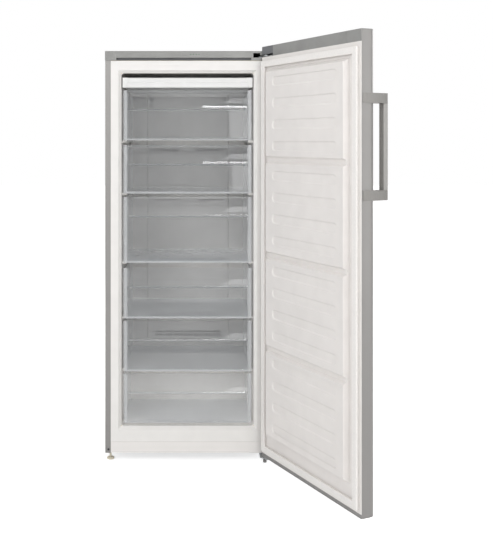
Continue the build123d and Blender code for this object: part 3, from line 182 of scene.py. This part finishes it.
def coated_steel(name, colour):
    """Pre-coated steel sheet, silver lacquer over a faint brushed grain: flat grey with a soft sheen."""
    material, tree, shader, place = start_material(name, colour, {"Metallic": 0.55})
    # the brushing is about 0.1 mm wide, and is drawn at 0.9 mm so that it shows
    brushed = grain(tree, place, 0.9 * MM, 2.0, (1, 1, 0.01))
    cloud = grain(tree, place, 180 * MM)
    vary_colour(tree, shader, cloud, shade(colour, 0.995), shade(colour, 1.005))
    vary_roughness(tree, shader, brushed, 0.34, 0.44)
    raise_surface(tree, shader, brushed, 0.02 * MM, 0.35)
    return material


def formed_polystyrene(name, colour):
    """High-impact polystyrene, vacuum-formed: satin white with a very shallow waviness from the forming."""
    material, tree, shader, place = start_material(
        name, colour, {"IOR": 1.5, "Coat Weight": 0.12, "Coat Roughness": 0.18})
    wave = grain(tree, place, 60 * MM, 1.0)
    # the sheet's own grain is about 0.3 mm, and is drawn at 1.6 mm so that it shows
    fine = grain(tree, place, 1.6 * MM, 2.0)
    vary_colour(tree, shader, wave, shade(colour, 0.99), shade(colour, 1.005))
    vary_roughness(tree, shader, fine, 0.29, 0.38)
    raise_surface(tree, shader, fine, 0.03 * MM, 0.3)
    return material


def moulded_plastic(name, colour, roughness, grain_size=0.9 * MM, depth=0.04 * MM, metallic=0.0,
                    drift=0.03):
    """ABS or the like, injection moulded with an eroded texture: even colour and broken highlights."""
    material, tree, shader, place = start_material(name, colour, {"Metallic": metallic, "IOR": 1.53})
    # the eroded grain is about 0.2 mm, and is drawn a few times as coarse so that it shows
    fine = grain(tree, place, grain_size, 2.0)
    cloud = grain(tree, place, 70 * MM)
    vary_colour(tree, shader, cloud, shade(colour, 1 - drift), shade(colour, 1 + drift))
    vary_roughness(tree, shader, fine, roughness - 0.05, roughness + 0.06)
    raise_surface(tree, shader, fine, depth, 0.4)
    return material


def clear_polystyrene(name, colour):
    """Crystal polystyrene, injection moulded: clear with a faint blue cast and sharp highlights."""
    material, tree, shader, place = start_material(
        name, colour, {"Roughness": 0.03, "IOR": 1.45, "Transmission Weight": 0.97})
    flow = grain(tree, place, 45 * MM, 1.0)
    vary_colour(tree, shader, flow, shade(colour, 0.99), colour)
    raise_surface(tree, shader, flow, 0.03 * MM, 0.2)
    return material


def thin_polystyrene(name, colour, facing, glancing, roughness):
    """Thin crystal polystyrene: clear face on, and paler where the eye meets it at a glance."""
    material, tree, shader, place = start_material(name, colour, {"Roughness": roughness, "IOR": 1.5})
    turn = add_node(tree, "ShaderNodeLayerWeight", {"Blend": 0.35})
    alpha = add_node(tree, "ShaderNodeMapRange", {"To Min": facing, "To Max": glancing},
                     {"Value": turn.outputs["Facing"]})
    tree.links.new(alpha.outputs["Result"], shader.inputs["Alpha"])
    flow = grain(tree, place, 30 * MM, 1.0)
    vary_colour(tree, shader, flow, shade(colour, 0.97), colour)
    return material


def milky_polypropylene(name, colour):
    """Polypropylene, injection moulded: milky, slightly see-through, with a soft satin face."""
    material, tree, shader, place = start_material(
        name, colour, {"IOR": 1.49, "Alpha": 0.94, "Subsurface Weight": 0.12,
                       "Subsurface Radius": (4 * MM, 4 * MM, 4 * MM), "Subsurface Scale": 1.0})
    fine = grain(tree, place, 1.2 * MM, 2.0)
    cloud = grain(tree, place, 50 * MM)
    vary_colour(tree, shader, cloud, shade(colour, 0.985), colour)
    vary_roughness(tree, shader, fine, 0.26, 0.36)
    return material


def brushed_metal(name, colour, axis, roughness, metallic=1.0):
    """Anodised, plated, drawn or cast metal with lines along one axis: fine lines and a long highlight."""
    stretch = [1.0, 1.0, 1.0]
    stretch[axis] = 0.012
    material, tree, shader, place = start_material(
        name, colour, {"Metallic": metallic, "Anisotropic": 0.45})
    # a line is about 0.1 mm wide and 40 mm long, and is drawn 0.5 mm wide so that it shows
    lines = grain(tree, place, 0.5 * MM, 3.0, tuple(stretch))
    vary_colour(tree, shader, lines, shade(colour, 0.94), shade(colour, 1.03))
    vary_roughness(tree, shader, lines, roughness - 0.05, roughness + 0.1)
    raise_surface(tree, shader, lines, 0.02 * MM, 0.4)
    return material


def galvanised(name, colour):
    """Hot-dip galvanised steel, left bare: pale grey with flat angular spangle about 5 mm across."""
    material, tree, shader, place = start_material(name, colour, {"Metallic": 0.9})
    cells = add_node(tree, "ShaderNodeTexVoronoi", {"Scale": 1 / (5 * MM)}, {"Vector": place})
    split = add_node(tree, "ShaderNodeSeparateColor", None, {"Color": cells.outputs["Color"]})
    level = split.outputs["Red"]
    vary_colour(tree, shader, level, shade(colour, 0.97), shade(colour, 1.03), (0.0, 1.0))
    vary_roughness(tree, shader, level, 0.4, 0.48)
    return material


def soft_vinyl(name, colour):
    """Plasticised PVC or rubber, extruded: soft and dull with faint draw lines."""
    material, tree, shader, place = start_material(name, colour, {"Roughness": 0.55, "IOR": 1.52})
    lines = grain(tree, place, 1.1 * MM, 2.0, (1, 1, 0.2))
    vary_colour(tree, shader, lines, shade(colour, 0.97), shade(colour, 1.02))
    raise_surface(tree, shader, lines, 0.05 * MM, 0.35)
    return material


def rigid_foam(name, colour):
    """Polyurethane foam, cut: buff and full of closed cells."""
    material, tree, shader, place = start_material(name, colour, {"Roughness": 0.9})
    # the cells are about 0.5 mm, and are drawn at 1.5 mm so that they show
    cells = add_node(tree, "ShaderNodeTexVoronoi", {"Scale": 1 / (1.5 * MM)}, {"Vector": place})
    raise_surface(tree, shader, cells.outputs["Distance"], 0.3 * MM, 0.6)
    cloud = grain(tree, place, 30 * MM)
    vary_colour(tree, shader, cloud, shade(colour, 0.94), shade(colour, 1.03))
    return material


def enamelled(name, colour):
    """Enamel, sprayed and baked: deep and glossy with a faint orange peel."""
    material, tree, shader, place = start_material(
        name, colour, {"IOR": 1.5, "Coat Weight": 0.4, "Coat Roughness": 0.1})
    peel = grain(tree, place, 2.4 * MM, 1.0)
    vary_roughness(tree, shader, peel, 0.26, 0.36)
    raise_surface(tree, shader, peel, 0.06 * MM, 0.4)
    return material


def circuit_laminate(name, colour):
    """Glass-epoxy laminate under a solder mask: glossy with a fine weave."""
    material, tree, shader, place = start_material(name, colour, {"IOR": 1.55})
    # the weave's threads are about 0.5 mm apart, and are drawn at 1.2 mm so that they show
    weave = add_node(tree, "ShaderNodeTexChecker", {"Scale": 1 / (1.2 * MM)}, {"Vector": place})
    vary_colour(tree, shader, weave.outputs["Fac"], shade(colour, 0.92), shade(colour, 1.06), (0.0, 1.0))
    cloud = grain(tree, place, 8 * MM)
    vary_roughness(tree, shader, cloud, 0.25, 0.4)
    return material


# Each finish: the function that makes it, its colour (a hex value or one of the colours above), settings
FINISHES = {
    # satin silver skin, an even grey that turns paler towards a light
    "silver lacquered steel": (coated_steel, "silver", {}),
    # warm satin whites, with soft wide highlights along the ribs
    "vacuum-formed polystyrene liner": (formed_polystyrene, "liner_white", {}),
    "vacuum-formed polystyrene door": (formed_polystyrene, "door_white", {}),
    # flat white with a low gloss, a shade more even than the plastic over it
    "painted steel white": (moulded_plastic, "EDEAE7", {
        "roughness": 0.4, "grain_size": 1.2 * MM, "depth": 0.02 * MM, "drift": 0.005}),
    # thin and clear with sharp reflections; its thick edges get a pale grey painted highlight for the light
    # they gather
    "crystal polystyrene front": (clear_polystyrene, "clear", {}),
    "crystal polystyrene with painted edge highlight": (thin_polystyrene, "CFD1D3", {
        "facing": 0.5, "glancing": 0.9, "roughness": 0.12}),
    "crystal polystyrene tub": (thin_polystyrene, "F4F7FA", {
        "facing": 0.02, "glancing": 0.7, "roughness": 0.08}),
    # soft milky white that glows a little where it is lit
    "milky polypropylene": (milky_polypropylene, "F0F0EF", {}),
    # silver paint on plastic, a little metallic with a tight highlight
    "silver painted ABS": (moulded_plastic, "8E8E8C", {
        "roughness": 0.36, "grain_size": 0.7 * MM, "depth": 0.015 * MM, "metallic": 0.3}),
    # dull plastics in their own colour, with a grain that breaks the highlight
    "grey textured ABS": (moulded_plastic, "A3A3A1", {
        "roughness": 0.5, "grain_size": 1.4 * MM, "depth": 0.08 * MM}),
    # slate grey also serves as painted shade on the back wall of the top strip's channel
    "slate grey ABS and painted channel shade": (moulded_plastic, "646568", {"roughness": 0.45}),
    "black ABS": (moulded_plastic, "2B2B2E", {"roughness": 0.42}),
    "dark grey polypropylene": (moulded_plastic, "55565A", {"roughness": 0.5}),
    "mid grey polypropylene": (moulded_plastic, "8B8A88", {"roughness": 0.5}),
    "cream polyethylene": (moulded_plastic, "E4DCC8", {"roughness": 0.5}),
    "white nylon": (moulded_plastic, "E2E2DE", {"roughness": 0.42}),
    # satin bar with an upright grain, darker where it turns away from the light
    "brushed aluminium handle": (brushed_metal, "A5A3A0", {
        "axis": UPRIGHT, "roughness": 0.42, "metallic": 0.55}),
    "satin zinc casting": (brushed_metal, "94928F", {"axis": UPRIGHT, "roughness": 0.36}),
    # bright turned metal, with small quick glints
    "plated screw steel": (brushed_metal, "A8A8AA", {"axis": ACROSS, "roughness": 0.3}),
    # pale sheet with its zinc crystals just visible
    "galvanised steel": (galvanised, "B9BBBD", {}),
    # soft and dull, the seal nearly as white as the liner
    "soft vinyl seal": (soft_vinyl, "F1EEEB", {}),
    "black rubber": (soft_vinyl, "1D1D1F", {}),
    # buff and matt, full of pores
    "polyurethane foam": (rigid_foam, "E3D5A6", {}),
    # deep gloss black that mirrors the room softly
    "black enamel": (enamelled, "0B0B0D", {}),
    # pale fins and warm orange tube, both drawn, with long soft highlights
    "aluminium fins": (brushed_metal, "C6C9CC", {"axis": UPRIGHT, "roughness": 0.35}),
    "drawn copper": (brushed_metal, "C77B4E", {"axis": UPRIGHT, "roughness": 0.35}),
    # green board with the weave just under the gloss
    "circuit laminate": (circuit_laminate, "1F6B3C", {}),
}
MATERIALS = {}


def finish(key):
    """The finish of that name, made once."""
    if key not in MATERIALS:
        maker, colour, settings = FINISHES[key]
        MATERIALS[key] = maker(key, getattr(bpy.context.scene.freezer_colours, colour, colour), **settings)
    return MATERIALS[key]


# ---------------------------------------------------------------- mesh helpers
WELD_GAP = 0.02 * MM
FLAT_ANGLE = math.radians(0.5)
EDGE_ANGLE = math.radians(28.0)
SMOOTH_ANGLE = math.radians(35.0)


def only(piece):
    """Leaves that piece alone selected and active."""
    bpy.ops.object.select_all(action="DESELECT")
    piece.select_set(True)
    bpy.context.view_layer.objects.active = piece


def dress(node, key):
    """Gives a CAD node its finish."""
    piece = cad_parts[node]
    piece.data.materials.clear()
    piece.data.materials.append(finish(key))


def refined(node, key, body, edge, segments=2):
    """A welded copy of a CAD node with rounded edges, which stands in the node's place."""
    dress(node, key)
    piece = bpy.data.objects.new(node + "_finished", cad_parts[node].data.copy())
    bpy.context.scene.collection.objects.link(piece)
    only(piece)
    bpy.ops.object.mode_set(mode="EDIT")
    bpy.ops.mesh.select_all(action="SELECT")
    bpy.ops.mesh.remove_doubles(threshold=WELD_GAP)
    bpy.ops.mesh.dissolve_limited(angle_limit=FLAT_ANGLE)
    bpy.ops.object.mode_set(mode="OBJECT")
    bevel = piece.modifiers.new("rounded edges", "BEVEL")
    bevel.width = edge
    bevel.segments = segments
    bevel.limit_method = "ANGLE"
    bevel.angle_limit = EDGE_ANGLE
    bpy.ops.object.modifier_apply(modifier=bevel.name)
    even_shading(piece)
    settle(piece, key, body, node)
    return piece


def even_shading(piece):
    """Smooths the curves and keeps the flat faces flat."""
    only(piece)
    bpy.ops.object.shade_smooth_by_angle(angle=SMOOTH_ANGLE)
    weights = piece.modifiers.new("flat faces", "WEIGHTED_NORMAL")
    weights.keep_sharp = True
    bpy.ops.object.modifier_apply(modifier=weights.name)


def settle(piece, key, body, node):
    """Gives a finished piece its material and body, and hides the CAD node that it stands for."""
    piece.data.materials.clear()
    piece.data.materials.append(finish(key))
    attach(piece, body)
    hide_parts(node)


def paint(piece, key, chosen):
    """Gives the chosen faces of a piece another finish."""
    piece.data.materials.append(finish(key))
    slot = len(piece.data.materials) - 1
    for face in piece.data.polygons:
        if chosen(face):
            face.material_index = slot


# ---------------------------------------------------------------- pieces
# the edges of a drawer's front that get the painted highlight
STILE_WIDTH = 14 * MM    # the upright edges of a drawer's front
LIP_HEIGHT = 6 * MM      # its bottom edge
RIM_HEIGHT = 2 * MM      # its top edge
CHANNEL_DEPTH = 5 * MM   # depth of the top strip's channel
DRAWERS = range(1, 7)
BRIGHT_DRAWERS = (3, 6)  # these tubs stop no light
BRIGHTEST_DRAWER = 6     # and this one doesn't bounce it either


class FREEZER_OT_cabinet(bpy.types.Operator):
    """Steel wrap, plinth, back and base of the cabinet"""
    bl_idname = "freezer.cabinet"
    bl_label = "Cabinet"

    def execute(self, context):
        sizes = context.scene.freezer_sizes
        refined("cabinet_shell", "silver lacquered steel", "cabinet", sizes.fold_edge)
        dress("plinth", "painted steel white")
        dress("hinge_hole_plugs", "black ABS")
        dress("cabinet_foam", "polyurethane foam")
        dress("back_panel", "galvanised steel")
        dress("back_rivets", "plated screw steel")
        dress("base_pan", "galvanised steel")
        return {"FINISHED"}


class FREEZER_OT_liner(bpy.types.Operator):
    """Inner liner and the evaporator cover in it"""
    bl_idname = "freezer.liner"
    bl_label = "Liner"

    def execute(self, context):
        sizes = context.scene.freezer_sizes
        for node, edge in (("liner", sizes.liner_edge), ("evaporator_cover", sizes.cover_edge)):
            refined(node, "vacuum-formed polystyrene liner", "cabinet", edge)
        return {"FINISHED"}


class FREEZER_OT_drawers(bpy.types.Operator):
    """Six clear drawers, each a tub and a front"""
    bl_idname = "freezer.drawers"
    bl_label = "Drawers"

    def execute(self, context):
        sizes = context.scene.freezer_sizes
        for number in DRAWERS:
            body = f"drawer_{number}"
            tub = refined(body + "_bin", "crystal polystyrene tub", body,
                          sizes.moulded_edge)
            front = refined(body + "_front", "crystal polystyrene front", body,
                            sizes.moulded_edge)
            self.paint_edge_highlights(front, *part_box(body + "_front"))
            # clear plastic lets through more light than a traced shadow of it would
            front.visible_shadow = False
            front.visible_diffuse = False
            tub.visible_shadow = number not in BRIGHT_DRAWERS
            tub.visible_diffuse = number != BRIGHTEST_DRAWER
        return {"FINISHED"}

    def paint_edge_highlights(self, front, low, high):
        """The stiles, the bottom lip and the rim are painted paler and less clear than the thin panel: a
        painted highlight for the light their thick plastic gathers.
        """
        stile_x = high[0] - STILE_WIDTH
        paint(front, "crystal polystyrene with painted edge highlight",
              lambda face: (abs(face.center.x) > stile_x or face.center.z < low[2] + LIP_HEIGHT
                            or face.center.z > high[2] - RIM_HEIGHT))


class FREEZER_OT_tray(bpy.types.Operator):
    """Milky tray under the roof"""
    bl_idname = "freezer.tray"
    bl_label = "Top tray"

    def execute(self, context):
        sizes = context.scene.freezer_sizes
        refined("top_tray", "milky polypropylene", "top_tray", sizes.moulded_edge)
        return {"FINISHED"}


class FREEZER_OT_cooling(bpy.types.Operator):
    """Evaporator, fan, compressor bay and pipes"""
    bl_idname = "freezer.cooling"
    bl_label = "Cooling"

    def execute(self, context):
        for node, key in (("evaporator", "aluminium fins"), ("defrost_heater", "aluminium fins"),
                          ("drain_trough", "white nylon"), ("fan_blade", "white nylon"),
                          ("fan_frame", "white nylon"), ("fan_motor", "dark grey polypropylene"),
                          ("compressor", "black enamel"), ("compressor_grommets", "black rubber"),
                          ("evaporating_pan", "dark grey polypropylene"),
                          ("condenser", "drawn copper"), ("refrigerant_pipes", "drawn copper"),
                          ("compressor_cover", "black ABS"), ("supply_inlet", "black rubber")):
            dress(node, key)
        return {"FINISHED"}


class FREEZER_OT_top(bpy.types.Operator):
    """Top panel, front strip, its end pieces, board and buttons"""
    bl_idname = "freezer.top"
    bl_label = "Top"

    def execute(self, context):
        sizes = context.scene.freezer_sizes
        refined("top_panel", "grey textured ABS", "cabinet", sizes.panel_edge)
        for node in ("end_cap_left", "hinge_cover"):
            refined(node, "silver painted ABS", "cabinet", sizes.moulded_edge)
        trim = refined("top_trim", "silver painted ABS", "cabinet", sizes.moulded_edge)
        # the back wall of the strip's channel is painted slate grey: painted shade standing in for the
        # shadow under the strip
        channel_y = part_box("top_trim")[0][1] + CHANNEL_DEPTH
        paint(trim, "slate grey ABS and painted channel shade", lambda face: face.normal.y < -0.5 and face.center.y > channel_y)
        for node in ("temperature_button", "fast_freeze_button"):
            refined(node, "silver painted ABS", node, sizes.small_edge)
        dress("control_board", "circuit laminate")
        return {"FINISHED"}


class FREEZER_OT_hinges(bpy.types.Operator):
    """Hinge brackets with their pins, bushes and screws"""
    bl_idname = "freezer.hinges"
    bl_label = "Hinges"

    def execute(self, context):
        sizes = context.scene.freezer_sizes
        for node in ("upper_hinge_bracket", "lower_hinge_bracket"):
            refined(node, "galvanised steel", "cabinet", sizes.small_edge)
        dress("hinge_bushes", "white nylon")
        dress("hinge_screws", "plated screw steel")
        return {"FINISHED"}


class FREEZER_OT_door(bpy.types.Operator):
    """Door skin, inner door, foam, seal and end caps"""
    bl_idname = "freezer.door"
    bl_label = "Door"

    def execute(self, context):
        sizes = context.scene.freezer_sizes
        refined("door_shell", "silver lacquered steel", "door", sizes.fold_edge)
        refined("door_liner", "vacuum-formed polystyrene door", "door", sizes.door_edge,
                segments=3)
        refined("door_gasket", "soft vinyl seal", "door", sizes.moulded_edge)
        refined("door_top_cap", "silver painted ABS", "door", sizes.moulded_edge)
        refined("door_hinge_cap", "slate grey ABS and painted channel shade", "door", sizes.moulded_edge)
        refined("door_bottom_cap", "mid grey polypropylene", "door", sizes.moulded_edge)
        dress("door_foam", "polyurethane foam")
        return {"FINISHED"}


class FREEZER_OT_handle(bpy.types.Operator):
    """Handle bar, its mounts and screws"""
    bl_idname = "freezer.handle"
    bl_label = "Handle"

    def execute(self, context):
        sizes = context.scene.freezer_sizes
        refined("handle_bar", "brushed aluminium handle", "door", sizes.bar_edge)
        refined("handle_mounts", "satin zinc casting", "door", sizes.bar_edge)
        dress("handle_screws", "plated screw steel")
        return {"FINISHED"}


class FREEZER_OT_feet(bpy.types.Operator):
    """Levelling feet and rear rollers"""
    bl_idname = "freezer.feet"
    bl_label = "Feet and rollers"

    def execute(self, context):
        dress("foot_left", "cream polyethylene")
        dress("foot_right", "mid grey polypropylene")
        dress("roller_left", "white nylon")
        dress("roller_right", "white nylon")
        return {"FINISHED"}


FLOOR_SPAN = 40.0
WHITE = (1.0, 1.0, 1.0, 1.0)
PAPER_GLOW = 0.62              # the paper's own light for the camera alone, so that it stays white
ROOM_LIGHT = 0.6               # even light from all round
DIM_SIDE = (0.75, 0.66, 0.0)   # glossy surfaces see a dimmer room behind the hinge side
DIM_SPAN = (0.2, 0.8)
DIM_LEVEL = 0.5
SENSOR_WIDTH = 36.0
LAMPS = (
    # name, place, aim, width and height in metres, power in watts
    ("key", (-2.4, -3.6, 2.6), (0.1, 0.0, 0.9), (2.2, 2.2), 52.0),
    ("fill", (1.3, -4.2, 1.7), (0.2, 0.0, 0.8), (2.0, 2.0), 28.0),
    ("strip", (0.28, -2.6, 3.1), (0.15, 0.0, 1.2), (0.36, 0.4), 7.0),
    ("side", (3.0, -2.0, 1.2), (0.45, -0.5, 0.9), (0.5, 2.2), 7.0),
    ("right", (3.6, 1.6, 1.8), (0.3, 0.2, 0.8), (2.4, 2.4), 40.0),
    ("back", (0.0, 3.6, 2.6), (0.0, 0.5, 0.9), (2.6, 2.6), 55.0),
)


class FREEZER_OT_stage(bpy.types.Operator):
    """Pale floor, soft studio light and the camera"""
    bl_idname = "freezer.stage"
    bl_label = "Stage"

    def execute(self, context):
        self.floor()
        self.world(context)
        self.lamps()
        self.camera(context)
        context.scene.view_settings.view_transform = "Standard"
        return {"FINISHED"}

    def floor(self):
        bpy.ops.object.select_all(action="DESELECT")
        bpy.ops.mesh.primitive_plane_add(size=FLOOR_SPAN, location=(0, 0, 0))
        floor = bpy.context.object
        floor.name = "studio_floor"
        material = bpy.data.materials.new("matt white paper")
        material.use_nodes = True
        tree = material.node_tree
        tree.nodes.clear()
        paper = add_node(tree, "ShaderNodeBsdfDiffuse", {"Color": linear("F4F4F4")})
        glow = add_node(tree, "ShaderNodeEmission", {"Color": WHITE, "Strength": PAPER_GLOW})
        lit_paper = add_node(tree, "ShaderNodeAddShader", None,
                             {0: paper.outputs["BSDF"], 1: glow.outputs["Emission"]})
        rays = add_node(tree, "ShaderNodeLightPath")
        seen = add_node(tree, "ShaderNodeMixShader", None,
                        {0: rays.outputs["Is Camera Ray"], 1: paper.outputs["BSDF"],
                         2: lit_paper.outputs["Shader"]})
        add_node(tree, "ShaderNodeOutputMaterial", None, {"Surface": seen.outputs["Shader"]})
        floor.data.materials.append(material)

    def world(self, context):
        world = bpy.data.worlds.new("studio")
        world.use_nodes = True
        tree = world.node_tree
        tree.nodes.clear()
        rays = add_node(tree, "ShaderNodeLightPath")
        straight = add_node(tree, "ShaderNodeMath", {"operation": "MAXIMUM"},
                            {0: rays.outputs["Is Camera Ray"], 1: rays.outputs["Is Transmission Ray"]})
        towards = add_node(tree, "ShaderNodeTexCoord").outputs["Generated"]
        behind = add_node(tree, "ShaderNodeVectorMath", {"operation": "DOT_PRODUCT", 1: DIM_SIDE},
                          {0: towards})
        dusk = add_node(tree, "ShaderNodeMapRange",
                        {"From Min": DIM_SPAN[0], "From Max": DIM_SPAN[1],
                         "To Min": 1.0, "To Max": DIM_LEVEL},
                        {"Value": behind.outputs["Value"]})
        room = add_node(tree, "ShaderNodeBackground", {"Color": WHITE, "Strength": ROOM_LIGHT})
        mirrored = add_node(tree, "ShaderNodeBackground", {"Color": WHITE},
                            {"Strength": dusk.outputs["Result"]})
        white = add_node(tree, "ShaderNodeBackground", {"Color": WHITE, "Strength": 1.0})
        lit = add_node(tree, "ShaderNodeMixShader", None,
                       {0: rays.outputs["Is Glossy Ray"], 1: room.outputs["Background"],
                        2: mirrored.outputs["Background"]})
        seen = add_node(tree, "ShaderNodeMixShader", None,
                        {0: straight.outputs["Value"], 1: lit.outputs["Shader"],
                         2: white.outputs["Background"]})
        add_node(tree, "ShaderNodeOutputWorld", None, {"Surface": seen.outputs["Shader"]})
        context.scene.world = world

    def lamps(self):
        for name, place, aim, size, power in LAMPS:
            lamp = bpy.data.lights.new(name, "AREA")
            lamp.shape = "RECTANGLE"
            lamp.size = size[0]
            lamp.size_y = size[1]
            lamp.energy = power
            holder = bpy.data.objects.new(name, lamp)
            holder.location = place
            holder.rotation_euler = (Vector(aim) - Vector(place)).to_track_quat("-Z", "Y").to_euler()
            bpy.context.scene.collection.objects.link(holder)

    def camera(self, context):
        studio = context.scene.freezer_studio
        lens = bpy.data.cameras.new("photo camera")
        longest = max(studio.photo_width, studio.photo_height)
        lens.sensor_width = SENSOR_WIDTH
        lens.lens = studio.focal / longest * lens.sensor_width
        lens.shift_x = (studio.photo_width / 2 - studio.centre_x) / longest
        lens.shift_y = (studio.centre_y - studio.photo_height / 2) / longest
        lens.clip_end = 100.0
        holder = bpy.data.objects.new("photo camera", lens)
        holder.location = studio.eye
        holder.rotation_euler = (math.pi / 2, 0, 0)
        context.scene.collection.objects.link(holder)
        context.scene.camera = holder


STEPS = (
    FREEZER_OT_cabinet, FREEZER_OT_liner, FREEZER_OT_drawers, FREEZER_OT_tray, FREEZER_OT_cooling,
    FREEZER_OT_top, FREEZER_OT_hinges, FREEZER_OT_door, FREEZER_OT_handle, FREEZER_OT_feet,
    FREEZER_OT_stage,
)
GROUPS = (
    ("freezer_sizes", FreezerSizes), ("freezer_colours", FreezerColours), ("freezer_studio", FreezerStudio),
)


class FREEZER_PT_sidebar(bpy.types.Panel):
    """Lists the freezer's pieces"""
    bl_label = "Freezer"
    bl_space_type = "VIEW_3D"
    bl_region_type = "UI"
    bl_category = "Freezer"

    def draw(self, context):
        for group_name, group in GROUPS:
            for name in group.__annotations__:
                self.layout.prop(getattr(context.scene, group_name), name)
        for step in STEPS:
            self.layout.operator(step.bl_idname)


def register():
    for name, group in GROUPS:
        bpy.utils.register_class(group)
        setattr(bpy.types.Scene, name, bpy.props.PointerProperty(type=group))
    for step in STEPS:
        bpy.utils.register_class(step)
    bpy.utils.register_class(FREEZER_PT_sidebar)


def unregister():
    bpy.utils.unregister_class(FREEZER_PT_sidebar)
    for step in reversed(STEPS):
        bpy.utils.unregister_class(step)
    for name, group in reversed(GROUPS):
        delattr(bpy.types.Scene, name)
        bpy.utils.unregister_class(group)


def main():
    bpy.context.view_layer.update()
    register()
    for step in STEPS:
        group, name = step.bl_idname.split(".")
        getattr(getattr(bpy.ops, group), name)()


if __name__ == "__main__":
    main()
